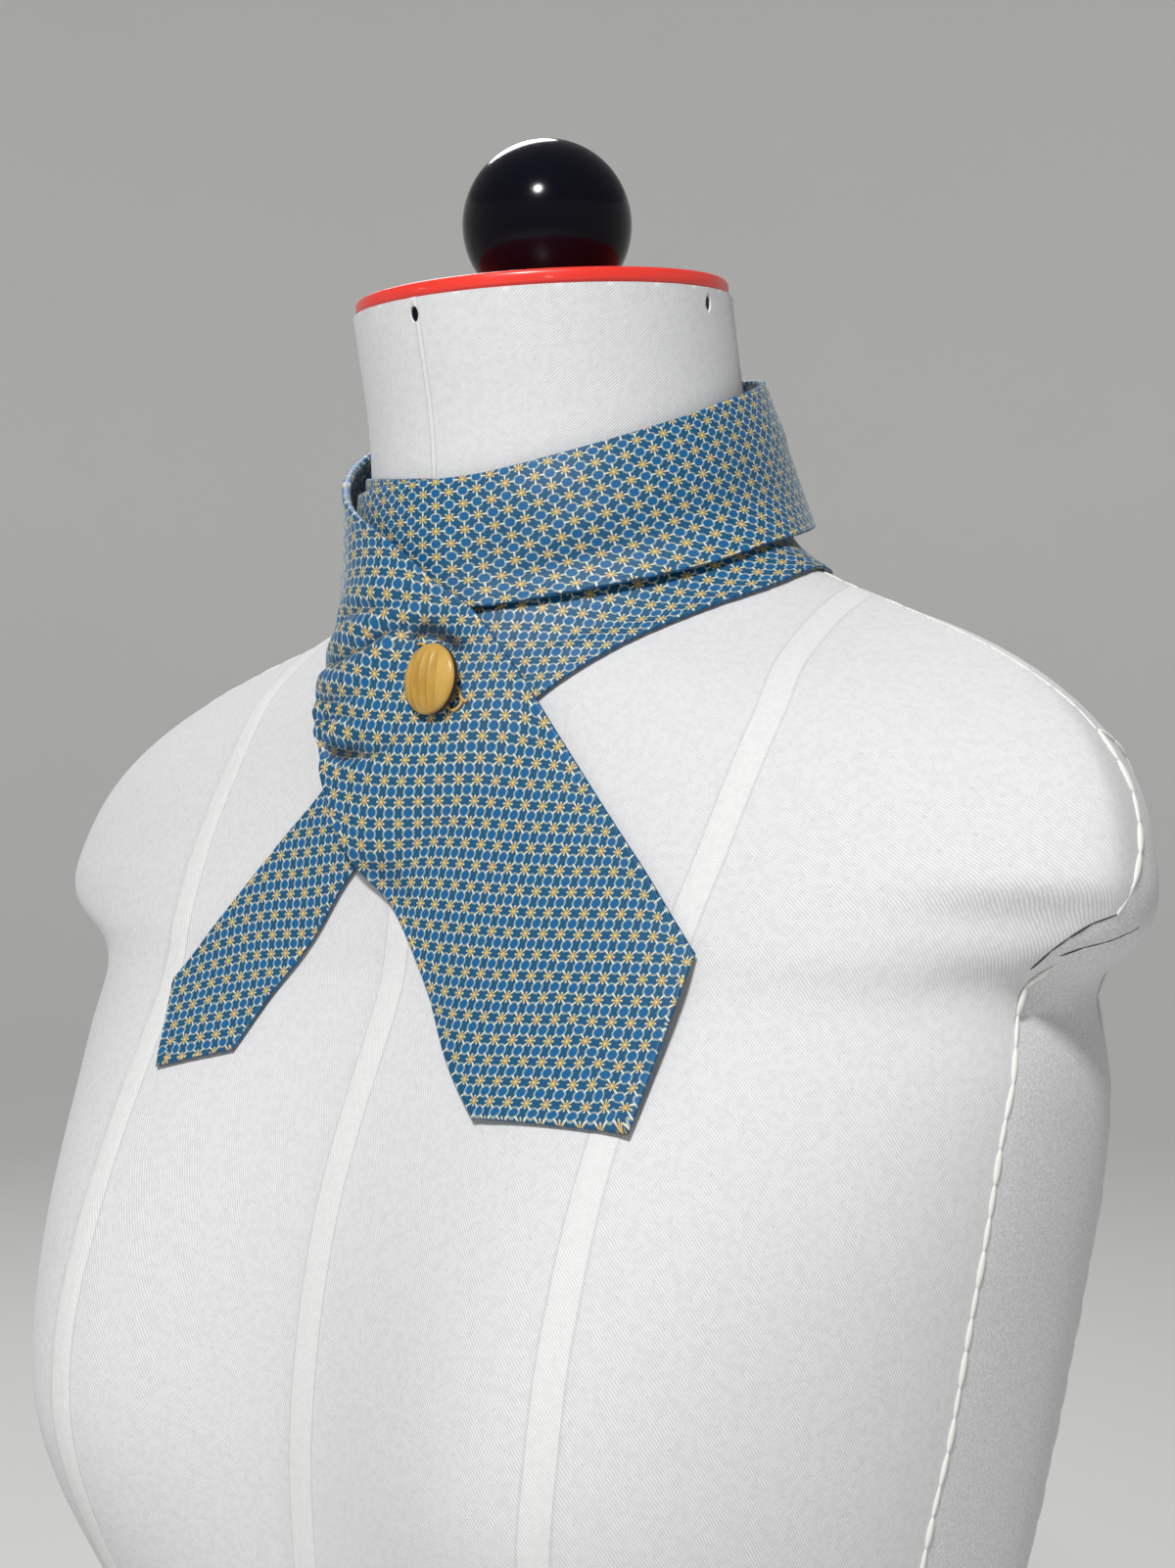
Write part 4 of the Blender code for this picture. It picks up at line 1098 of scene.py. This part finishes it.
# %% Fold tables
FOLD_COLUMNS = ("rise", "half_width", "spots")
FOLDS = (
    (0.0009, 0.0028, ((17.8, 0.62), (18.8, 0.32), (19.4, 0.16), (19.8, 0.03))),
    (-0.0017, 0.0019, ((18.2, 0.60), (18.8, 0.40), (19.5, 0.21), (20.1, 0.07))),
    (0.0011, 0.0024, ((18.0, 0.87), (18.9, 0.51), (19.5, 0.32), (20.1, 0.16))),
    (-0.0024, 0.0018, ((18.2, 0.98), (19.3, 0.56), (19.7, 0.37), (20.2, 0.21), (20.7, 0.12))),
    (0.0012, 0.0020, ((19.2, 0.66), (19.7, 0.48), (20.1, 0.34), (20.3, 0.22))),
    (-0.0040, 0.0015, (
        (21.3, 0.13), (21.0, 0.145), (20.75, 0.165), (20.55, 0.20), (20.42, 0.26), (20.3, 0.34),
    )),
    (0.0012, 0.0026, ((18.4, 0.95), (19.4, 0.72), (19.9, 0.55), (20.3, 0.40))),
    (-0.0024, 0.0018, ((18.9, 0.95), (19.3, 0.86), (19.8, 0.73), (20.2, 0.61))),
    (0.0012, 0.0021, ((19.1, 0.95), (20.1, 0.74), (20.7, 0.57))),
    (-0.0022, 0.0017, ((19.4, 0.95), (20.1, 0.79), (20.7, 0.65))),
    (0.0011, 0.0020, ((19.7, 0.95), (20.4, 0.77), (21.0, 0.60))),
    (-0.0022, 0.0017, ((20.0, 0.95), (20.6, 0.82), (20.9, 0.70))),
    (-0.0020, 0.0017, ((20.3, 0.95), (20.9, 0.81), (21.3, 0.65), (21.5, 0.54))),
    (0.0010, 0.0023, ((20.5, 0.95), (21.2, 0.79), (21.5, 0.62))),
    (-0.0012, 0.0028, ((22.1, 0.97), (22.7, 0.92), (23.3, 0.88))),
    (0.0006, 0.0034, ((8.5, 0.30), (10.2, 0.38), (12.2, 0.34))),
    (-0.0006, 0.0028, ((9.0, 0.50), (10.8, 0.56), (12.8, 0.48))),
    (0.0006, 0.0034, ((9.6, 0.78), (11.5, 0.70), (13.6, 0.76))),
    (0.0008, 0.0032, ((13.4, 0.34), (14.8, 0.30), (16.2, 0.44))),
    (-0.0009, 0.0024, ((13.8, 0.56), (15.2, 0.48), (16.8, 0.60))),
    (0.0009, 0.0030, ((14.2, 0.80), (15.8, 0.66), (17.4, 0.74))),
)
FIRST_FOLDS = (
    (-0.0006, 0.0016, ((10.3, 0.66), (9.7, 0.74), (9.2, 0.80), (8.3, 0.95))),
    (0.0005, 0.0020, ((10.4, 0.76), (9.9, 0.84), (9.4, 0.91))),
)
FOLD_SPOTS = 40
FOLD_FADE = (0.22, 1.00)  # part of a half wave that a fold's strength follows along it
FOLD_ROOM = 0.0017        # the folded stretch is raised by this, to give hollows room, but not its top edge
FOLD_ROWS = ((17.0, 0.0), (18.6, 1.0), (21.6, 1.0), (23.0, 0.0))
FREE_SHARE = 0.25
DEEP = 0.0028             # depth of a fold at which the painted shade on the silk is darkest


def flat_at(strip, row, share):
    """Place on the flat cloth of a row and a share."""
    i = int(np.argmin(abs(strip["places"] - row)))
    j = int(np.argmin(abs(strip["shares"] - share)))
    return strip["flat"][i, j]


def fold_heights(strip, folds, lift=0.0):
    """Height of each point over the smooth strip; the strip keeps how deep each point lies in a fold."""
    total = np.zeros(strip["grid"].shape[:2])
    for fold in folds:
        size = dict(zip(FOLD_COLUMNS, fold))
        spots = np.array([flat_at(strip, *spot) for spot in size["spots"]])
        strength = np.zeros_like(total)
        for k in range(FOLD_SPOTS + 1):
            share = k / FOLD_SPOTS
            spot = through(spots, share * (len(spots) - 1))
            gap = np.linalg.norm(strip["flat"] - spot, axis=2) / size["half_width"]
            wave = math.sin(math.pi * (FOLD_FADE[0] + (FOLD_FADE[1] - FOLD_FADE[0]) * share))
            strength = np.maximum(strength, wave * np.exp(-0.5 * gap * gap))
        total += size["rise"] * strength
    # How deep each point lies in a fold; the silk paints shade by it.
    strip["deep"] = np.clip(-total / DEEP, 0.0, 1.0)
    room = between(FOLD_ROWS, strip["places"])[:, None] * np.clip(strip["shares"] / FREE_SHARE, 0.0, 1.0)
    return np.maximum(total + FOLD_ROOM * room + lift, 0.0)


print("folds:", len(FOLDS), "on the second turn,", len(FIRST_FOLDS), "on the first")


# %% [markdown]
# ## Laying the layers on each other
#
# The form's own surface tells each point which way is out. A strip that hugs the form is laid on it; the
# others keep the radii of their tables. Then every point looks inward for what lies below it, the form or a
# layer of silk, and is moved out until it clears it. A lift at one point is spread to its neighbours,
# because cloth doesn't step. On the left of the neck, the low edge of the second turn is drawn in towards
# the first, and the softening leaves it 1 to 3 mm off.

# %% Layers
WALL = 0.0014             # folded silk with its interlining
LAY_GAP = 0.0004
SEARCH = 0.030
SPREAD = 4                # grid cells over which a lift is spread
SOFTEN_ROUNDS = 8
CLING_GAP = 0.0006        # the gap that the second turn is drawn in to, before it is softened
CLING_ROWS = ((4.0, 0.0), (5.2, 1.0), (8.0, 1.0), (9.4, 0.0))
CLING_SHARES = ((0.15, 0.0), (0.80, 1.0))


def shifted(field, cells, axis):
    index = np.clip(np.arange(field.shape[axis]) + cells, 0, field.shape[axis] - 1)
    return np.take(field, index, axis=axis)


def spread(field, cells):
    """Widens the high places of a grid of numbers, then softens them without letting any value fall."""
    for axis in (0, 1):
        field = np.max([shifted(field, n, axis) for n in range(-cells, cells + 1)], axis=0)
    half = cells // 2
    for _ in range(2):
        for axis in (0, 1):
            field = np.mean([shifted(field, n, axis) for n in range(-half, half + 1)], axis=0)
    return field


def softened(grid, rounds):
    for _ in range(rounds):
        middle = sum(shifted(grid, n, axis) for axis in (0, 1) for n in (-1, 1)) / 4.0
        middle[[0, -1]] = grid[[0, -1]]
        middle[:, [0, -1]] = grid[:, [0, -1]]
        grid = (grid + middle) / 2.0
    return grid


def clearances(grid, outward, layers):
    """How far each point lies off what is below it; less than 0 inside a layer."""
    found = np.full(grid.shape[0] * grid.shape[1], SEARCH)
    for k, (point, way) in enumerate(zip(grid.reshape(-1, 3), outward.reshape(-1, 3))):
        point, way = Vector(point), Vector(way)
        for layer in layers:
            spot, _, _, gap = layer.ray_cast(point + way * SEARCH, -way, 2.0 * SEARCH)
            if spot is not None:
                found[k] = min(found[k], gap - SEARCH)
    return found.reshape(grid.shape[:2])


def lay(grid, layers, hug, cling=None):
    """The grid laid over the layers, with the outward direction at each point."""
    points = [Vector(point) for point in grid.reshape(-1, 3)]
    nearest = [form_skin.find_nearest(point) for point in points]
    outward = softened(np.array([normal for _, normal, _, _ in nearest]).reshape(grid.shape), SOFTEN_ROUNDS)
    outward /= np.linalg.norm(outward, axis=2, keepdims=True)
    if hug:
        grid = np.array([spot + normal * LAY_GAP for spot, normal, _, _ in nearest]).reshape(grid.shape)
    if cling is not None:
        loose = np.maximum(clearances(grid, outward, layers) - CLING_GAP, 0.0) * cling
        grid = grid - outward * (1.0, 1.0, 0.0) * softened(loose[:, :, None], 3 * SOFTEN_ROUNDS)
    for _ in range(2):
        lifts = np.maximum(LAY_GAP - clearances(grid, outward, layers), 0.0)
        grid = grid + outward * spread(lifts, SPREAD)[:, :, None]
        grid = softened(grid, SOFTEN_ROUNDS)
    return grid, outward


# %% [markdown]
# ## A folded strip as one closed piece
#
# The tie is a flattened tube: two plies of silk over an interlining, with round folded edges. So the strip
# has an outer and an inner face, which meet at its edges in a half ellipse. Along the top edge of the wide
# end, where it stands free of the neck, the fold opens into a thicker soft roll.

# %% Strip to mesh
EDGE_ROUND = 0.0009       # width of the rounding along a folded edge
ROLL_RISE = 0.0008        # extra half thickness of the open roll
ROLL_WIDTH = 0.0030
ROLL_ROWS = ((12.0, 0.0), (13.5, 1.0), (15.5, 1.0), (18.0, 0.15), (20.0, 0.0))


def edge_gaps(grid):
    """Distance of each point from the nearest edge of its strip, along its row and its column."""
    gaps = []
    for axis in (0, 1):
        steps = np.linalg.norm(np.diff(grid, axis=axis), axis=2)
        run = np.cumsum(steps, axis=axis)
        run = np.concatenate((np.zeros_like(np.take(run, [0], axis=axis)), run), axis=axis)
        gaps += [run, np.take(run, [-1], axis=axis) - run]
    return np.min(gaps, axis=0), gaps[2]


def half_thickness(gap):
    share = np.clip(gap / EDGE_ROUND, 0.0, 1.0)
    return WALL / 2.0 * np.sqrt(1.0 - (1.0 - share) ** 2)


def strip_mesh(name, strip, grid, outward, roll=None):
    along, across = np.gradient(grid, axis=0), np.gradient(grid, axis=1)
    normal = np.cross(along, across)
    normal /= np.linalg.norm(normal, axis=2, keepdims=True)
    way = np.sign(np.sum(normal * outward))
    normal = normal * way
    gap, from_top = edge_gaps(grid)
    half = half_thickness(gap)
    if roll:
        share = between(roll, strip["places"])
        bulge = np.exp(-0.5 * ((from_top - ROLL_WIDTH / 2.0) / (ROLL_WIDTH / 2.0)) ** 2)
        half = half + ROLL_RISE * share[:, None] * bulge * half / (WALL / 2.0)
    middle = grid + normal * (WALL / 2.0)
    outer, inner = middle + normal * half[:, :, None], middle - normal * half[:, :, None]
    rows, columns = grid.shape[:2]
    inside = np.zeros((rows, columns), bool)
    inside[1:-1, 1:-1] = True
    front = np.arange(rows * columns).reshape(rows, columns)
    back = front.copy()
    back[inside] = rows * columns + np.arange(inside.sum())
    points = np.concatenate((outer.reshape(-1, 3), inner[inside]))
    faces = []
    for skin, turned in ((front, way < 0), (back, way > 0)):
        a, b, c, d = skin[:-1, :-1], skin[1:, :-1], skin[1:, 1:], skin[:-1, 1:]
        corners = np.stack((a, d, c, b) if turned else (a, b, c, d), axis=2)
        faces.append(corners.reshape(-1, 4))
    mesh = bpy.data.meshes.new(name)
    mesh.from_pydata(points.tolist(), [], np.concatenate(faces).tolist())
    flat = strip["flat"]
    flat_points = np.concatenate((flat.reshape(-1, 2), flat[inside]))
    loops = np.zeros(len(mesh.loops), int)
    mesh.loops.foreach_get("vertex_index", loops)
    mesh.uv_layers.new(name="cloth").data.foreach_set("uv", flat_points[loops].ravel())
    hems = np.concatenate((gap.ravel(), gap[inside]))
    mesh.attributes.new("hem", "FLOAT", "POINT").data.foreach_set("value", hems)
    # The depth in a fold goes on the mesh, for the painted shade of the silk.
    deep = strip.get("deep", np.zeros((rows, columns)))
    depths = np.concatenate((deep.ravel(), deep[inside]))
    mesh.attributes.new("deep", "FLOAT", "POINT").data.foreach_set("value", depths)
    return new_object(name, mesh)


def flat_size(strip):
    """Width, length and area of the flat strip."""
    flat = strip["flat"]
    edges = [flat[1:, 1:] - flat[:-1, :-1], flat[1:, :-1] - flat[:-1, 1:]]
    area = abs(edges[0][:, :, 0] * edges[1][:, :, 1] - edges[0][:, :, 1] * edges[1][:, :, 0]).sum() / 2.0
    return float(np.ptp(flat[:, :, 0])), float(np.ptp(flat[:, :, 1])), float(area)


# %% [markdown]
# ## Winding the tie
#
# The strips are wound in order: first turn, inner ply, second turn. The second turn crosses its own start,
# so its first rows are laid first and become a layer, and the rest is laid over them.

# %% Wind the tie
UNDER_ROWS = 6.0          # rows of the second turn that its own wide end lies on
FIRST_LIFT = 0.0003       # lifts the first turn, so that its crease has some depth
JOIN_ROUNDS = 2           # rounds of softening where the two parts of the second turn meet


def open_skin(grid, lift):
    """Search tree of a strip's outer face."""
    rows, columns = grid.shape[:2]
    index = np.arange(rows * columns).reshape(rows, columns)
    faces = np.stack((index[:-1, :-1], index[1:, :-1], index[1:, 1:], index[:-1, 1:]), axis=2).reshape(-1, 4)
    return BVHTree.FromPolygons([Vector(point) for point in (grid + lift).reshape(-1, 3)], faces.tolist())


layers = [form_skin]
laid = {}
for name in ("first_turn", "inner_fold"):
    grid, outward = lay(strips[name]["grid"], layers, True)
    if name == "first_turn":
        grid = grid + outward * fold_heights(strips[name], FIRST_FOLDS, FIRST_LIFT)[:, :, None]
    laid[name] = (grid, outward)
    layers.append(open_skin(grid, outward * WALL))

turn = strips["second_turn"]
split = int(np.searchsorted(turn["places"], BLADE_START))
drawn_in = between(CLING_ROWS, turn["places"])[:split, None] * between(CLING_SHARES, turn["shares"])
start_grid, start_out = lay(turn["grid"][:split], layers, False, drawn_in)
below = int(np.searchsorted(turn["places"], UNDER_ROWS))
layers.append(open_skin(start_grid[:below], start_out[:below] * WALL))
end_grid, end_out = lay(turn["grid"][split:], layers, False)
grid = softened(np.concatenate((start_grid, end_grid)), JOIN_ROUNDS)
outward = np.concatenate((start_out, end_out))
grid = grid + outward * fold_heights(turn, FOLDS)[:, :, None]
laid["second_turn"] = (grid, outward)

NODES = {
    "first_turn": ("lower_band", "tail"),
    "inner_fold": ("inner_ply",),
    "second_turn": ("upper_band", "blade"),
}
for name, (grid, outward) in laid.items():
    piece = strip_mesh(name, strips[name], grid, outward, ROLL_ROWS if name == "second_turn" else None)
    finish_piece(piece, name, "silk", silk, *NODES[name])
    width, long, area = flat_size(strips[name])
    print(f"{name}: cut {width * 1000:.0f} by {long * 1000:.0f} mm")

# %% [markdown]
# ## The button
#
# A turned shape starts as a filled circle: its face is extruded and resized, ring by ring, up the profile.
# The dome is then scooped by four rings, which leave parallel flutes with sharp ridges between them. The
# back is a plate painted dark brown as painted shade, and the foot of a waisted thread shank is sunk into
# the silk.

# %% Turn the button
BUTTON_FOOT = (0.0136, -0.0660, 0.6010)
BUTTON_FACING = (-0.09, -0.985, 0.11)
BUTTON_RADIUS = 0.0098
BUTTON_BACK = 0.0024
BUTTON_EDGE = 0.0012
DOME_FOOT = 0.0044        # where the resin dome meets its back, painted brown as shade
BUTTON_TOP = 0.0080
RIM_TURN = 50.0
FLUTES = (-0.0060, -0.00255, 0.0009, 0.0040)
FLUTE_WIDTH = 0.0034
FLUTE_DEPTH = 0.00075
FLUTE_REACH = 0.84
SHANK_RADIUS = 0.0014
SHANK_PROFILE = ((SHANK_RADIUS, -0.0004), (0.8 * SHANK_RADIUS, 0.0012), (SHANK_RADIUS, BUTTON_BACK + 0.0002))
PLATE_START = 0.0020      # radius of the circle that the back plate starts from
DOME_INSET = 0.0003       # the circle that the dome starts from is this much smaller than its foot


def turned_piece(profile, around):
    """Extrudes a filled circle along a profile of (radius, height), from the bottom up."""
    radius, height = profile[0]
    thing = add_mesh(
        bpy.ops.mesh.primitive_circle_add, vertices=around, radius=radius, fill_type="NGON",
        location=(0.0, 0.0, height),
    )
    bpy.ops.object.transform_apply(location=True)
    bpy.ops.object.mode_set(mode="EDIT")
    bpy.ops.mesh.select_all(action="SELECT")
    for (radius, height), (next_radius, next_height) in zip(profile, profile[1:]):
        bpy.ops.mesh.extrude_region_move(TRANSFORM_OT_translate={"value": (0.0, 0.0, next_height - height)})
        scale = next_radius / radius
        bpy.ops.transform.resize(value=(scale, scale, 1.0), center_override=(0.0, 0.0, 0.0))
    bpy.ops.object.mode_set(mode="OBJECT")
    outward_normals(thing)
    return thing


def arc(centre, radius, start, end, steps):
    turns = [math.radians(start + (end - start) * k / steps) for k in range(steps + 1)]
    return [(centre[0] + radius * math.cos(turn), centre[1] + radius * math.sin(turn)) for turn in turns]


facing = Vector(BUTTON_FACING).normalized()
sideways = Vector((0.0, 0.0, 1.0)).cross(facing).normalized()
on_blade = Matrix((sideways, facing.cross(sideways), facing)).transposed().to_4x4()
on_blade = Matrix.Translation(BUTTON_FOOT) @ on_blade

rim = arc((BUTTON_RADIUS - BUTTON_EDGE, DOME_FOOT), BUTTON_EDGE, 0.0, RIM_TURN, 6)
edge_radius, edge_height = rim[-1]
rise = BUTTON_TOP - edge_height
dome_radius = (edge_radius ** 2 + rise ** 2) / (2.0 * rise)
slope = math.degrees(math.asin(edge_radius / dome_radius))
dome = arc((0.0, BUTTON_TOP - dome_radius), dome_radius, 90.0 - slope, 89.0, 24)
button = turned_piece([(rim[0][0] - DOME_INSET, rim[0][1]), *rim, *dome[1:]], 96)
for middle in FLUTES:
    slice_radius = math.sqrt(dome_radius ** 2 - middle ** 2)
    end = FLUTE_REACH * math.sqrt(BUTTON_RADIUS ** 2 - middle ** 2)
    fall = slice_radius - math.sqrt(slice_radius ** 2 - end ** 2) - FLUTE_DEPTH
    scoop = (end ** 2 + fall ** 2) / (2.0 * fall)
    tube = ((FLUTE_WIDTH / 2.0) ** 2 + FLUTE_DEPTH ** 2) / (2.0 * FLUTE_DEPTH)
    floor_height = BUTTON_TOP - dome_radius + slice_radius - FLUTE_DEPTH
    ring = add_mesh(
        bpy.ops.mesh.primitive_torus_add, major_segments=160, minor_segments=72,
        major_radius=scoop + tube, minor_radius=tube, location=(middle, 0.0, floor_height - scoop),
        rotation=(0.0, math.pi / 2.0, 0.0),
    )
    modify(button, "BOOLEAN", object=ring, operation="DIFFERENCE")
    bpy.data.objects.remove(ring)
place_mesh(button, on_blade)
finish_piece(button, "button_dome", "mustard_resin", resin, "button", angle=14.0)

# %% Back plate and shank
# The back plate takes the dark brown paint, which is painted shade.
back_edge = arc((BUTTON_RADIUS - BUTTON_EDGE, BUTTON_BACK + BUTTON_EDGE), BUTTON_EDGE, -90.0, 0.0, 6)
plate = turned_piece([(PLATE_START, BUTTON_BACK), *back_edge, (BUTTON_RADIUS, DOME_FOOT)], 96)
place_mesh(plate, on_blade)
finish_piece(plate, "button_back", "mustard_resin", brown, "button", angle=40.0)
shank = turned_piece(SHANK_PROFILE, 24)
place_mesh(shank, on_blade)
finish_piece(shank, "thread_shank", "gold_thread", gold_thread, "button")

# %% [markdown]
# ## Loose thread
#
# Three short ends of thread show beside the button. Each is a thin tube along a curve, whose spots are
# given in the plane of the button and dropped to just above the silk.

# %% Thread cords
CORD_RADIUS = 0.00042
CORD_LIFT = 0.0006        # height of a cord's middle over the silk
CORDS = {
    "thread_tail": (
        (0.0030, -0.0008), (0.0052, -0.0012), (0.0070, -0.0026), (0.0082, -0.0048), (0.0100, -0.0058),
    ),
    "thread_loop": (
        (0.0088, -0.0052), (0.0080, -0.0072), (0.0064, -0.0082), (0.0048, -0.0074), (0.0040, -0.0060),
    ),
    "thread_tuft": ((-0.0040, 0.0070), (-0.0052, 0.0092), (-0.0064, 0.0102), (-0.0076, 0.0100)),
}
CORD_STEPS = 8            # points between two spots
CORD_SIDES = 10
silk_skin = skin_of(bpy.data.objects["second_turn"])


def on_silk(x, y, lift):
    start = on_blade @ Vector((x, y, BUTTON_TOP))
    spot, _, _, _ = silk_skin.ray_cast(start, -facing)
    return spot + facing * lift


def cord(name, spots):
    flat_spots = np.array(spots)
    line = [
        on_silk(*through(flat_spots, k / CORD_STEPS), CORD_LIFT)
        for k in range(CORD_STEPS * (len(spots) - 1) + 1)
    ]
    points, faces = [line[0]], []
    for k, spot in enumerate(line):
        heading = (line[min(k + 1, len(line) - 1)] - line[max(k - 1, 0)]).normalized()
        side = heading.cross(facing).normalized()
        for n in range(CORD_SIDES):
            turn = 2.0 * math.pi * n / CORD_SIDES
            way = side * math.cos(turn) + side.cross(heading) * math.sin(turn)
            points.append(spot + way * CORD_RADIUS)
    points.append(line[-1])
    for n in range(CORD_SIDES):
        after = (n + 1) % CORD_SIDES
        faces.append((0, 1 + after, 1 + n))
        for k in range(len(line) - 1):
            start, end = 1 + k * CORD_SIDES, 1 + (k + 1) * CORD_SIDES
            faces.append((start + n, start + after, end + after, end + n))
        last = 1 + (len(line) - 1) * CORD_SIDES
        faces.append((len(points) - 1, last + n, last + after))
    mesh = bpy.data.meshes.new(name)
    mesh.from_pydata(points, [], faces)
    thing = new_object(name, mesh)
    outward_normals(thing)
    finish_piece(thing, name, "gold_thread", gold_thread)


for name, spots in CORDS.items():
    cord(name, spots)

# %% [markdown]
# ## Floor and light
#
# The floor is a wide round dish, whose rim curves up far behind everything, so that no edge shows from any
# side. The main light stands to the left of the camera and above it. A weaker light stands behind, and an
# even pale sky fills the shade.

# %% Stage
STAGE_RADIUS = 3.2
STAGE_CURVE = 1.2
STAGE_WALL = 1.3
CURVE_STEPS = 12

paper, wires, shader = new_paint(
    "stage_paper", 0.95, Specular_IOR_Level=0.1, Emission_Color=(1.0, 1.0, 1.0, 1.0), Emission_Strength=0.12
)
body = wires.body()
wires.plug(wires.mix(wires.noise(body, 3.0), tone(208, 208, 206), tone(212, 212, 210)), shader["Base Color"])
stage = add_mesh(bpy.ops.mesh.primitive_circle_add, vertices=96, radius=STAGE_RADIUS, fill_type="NGON")
bpy.ops.object.mode_set(mode="EDIT")
for k in range(CURVE_STEPS):
    turn, after = [math.radians(90.0 * n / CURVE_STEPS) for n in (k, k + 1)]
    lift = STAGE_CURVE * (math.cos(turn) - math.cos(after))
    grow = [STAGE_RADIUS + STAGE_CURVE * math.sin(value) for value in (turn, after)]
    bpy.ops.mesh.select_all(action="DESELECT")
    bpy.ops.mesh.select_mode(type="EDGE")
    bpy.ops.mesh.select_non_manifold(extend=False)
    bpy.ops.mesh.extrude_edges_move(TRANSFORM_OT_translate={"value": (0.0, 0.0, lift)})
    wider = grow[1] / grow[0]
    bpy.ops.transform.resize(value=(wider, wider, 1.0), center_override=(0.0, 0.0, 0.0))
bpy.ops.mesh.extrude_edges_move(TRANSFORM_OT_translate={"value": (0.0, 0.0, STAGE_WALL)})
bpy.ops.object.mode_set(mode="OBJECT")
stage.name = "stage_dish"
stage.data.materials.append(paper)
only(stage)
bpy.ops.object.shade_smooth()
print("stage:", len(stage.data.polygons), "faces")

# %% Lights
LIGHTS = {                                # turn from the camera, rise, distance, size, power
    "key": (-13.0, 40.0, 2.2, 0.36, 45.0),
    "back": (192.0, 42.0, 2.4, 0.9, 18.0),
}
LIGHT_DROP = 0.16         # the lights aim this far below the neck's top
LIGHT_AIM = Vector((0.0, 0.0, NECK_TOP - LIGHT_DROP))
SKY_STRENGTH = 0.20
for name, (turn, height, away, size, power) in LIGHTS.items():
    angle = CAMERA_TURN + math.radians(turn)
    level = math.radians(height)
    way = Vector((math.sin(angle) * math.cos(level), -math.cos(angle) * math.cos(level), math.sin(level)))
    facing_aim = way.to_track_quat("Z", "Y").to_euler()
    bpy.ops.object.light_add(type="AREA", location=LIGHT_AIM + way * away, rotation=facing_aim)
    light = bpy.context.object
    light.name = name
    light.data.shape = "DISK"
    light.data.size = size
    light.data.energy = power
    print("light:", name, "at", [round(value, 2) for value in light.location])

world = bpy.data.worlds.new("studio")
world.use_nodes = True
sky = world.node_tree.nodes["Background"].inputs
sky["Color"].default_value = (1.0, 1.0, 1.0, 1.0)
sky["Strength"].default_value = SKY_STRENGTH
bpy.context.scene.world = world
bpy.context.scene.view_settings.view_transform = "Standard"
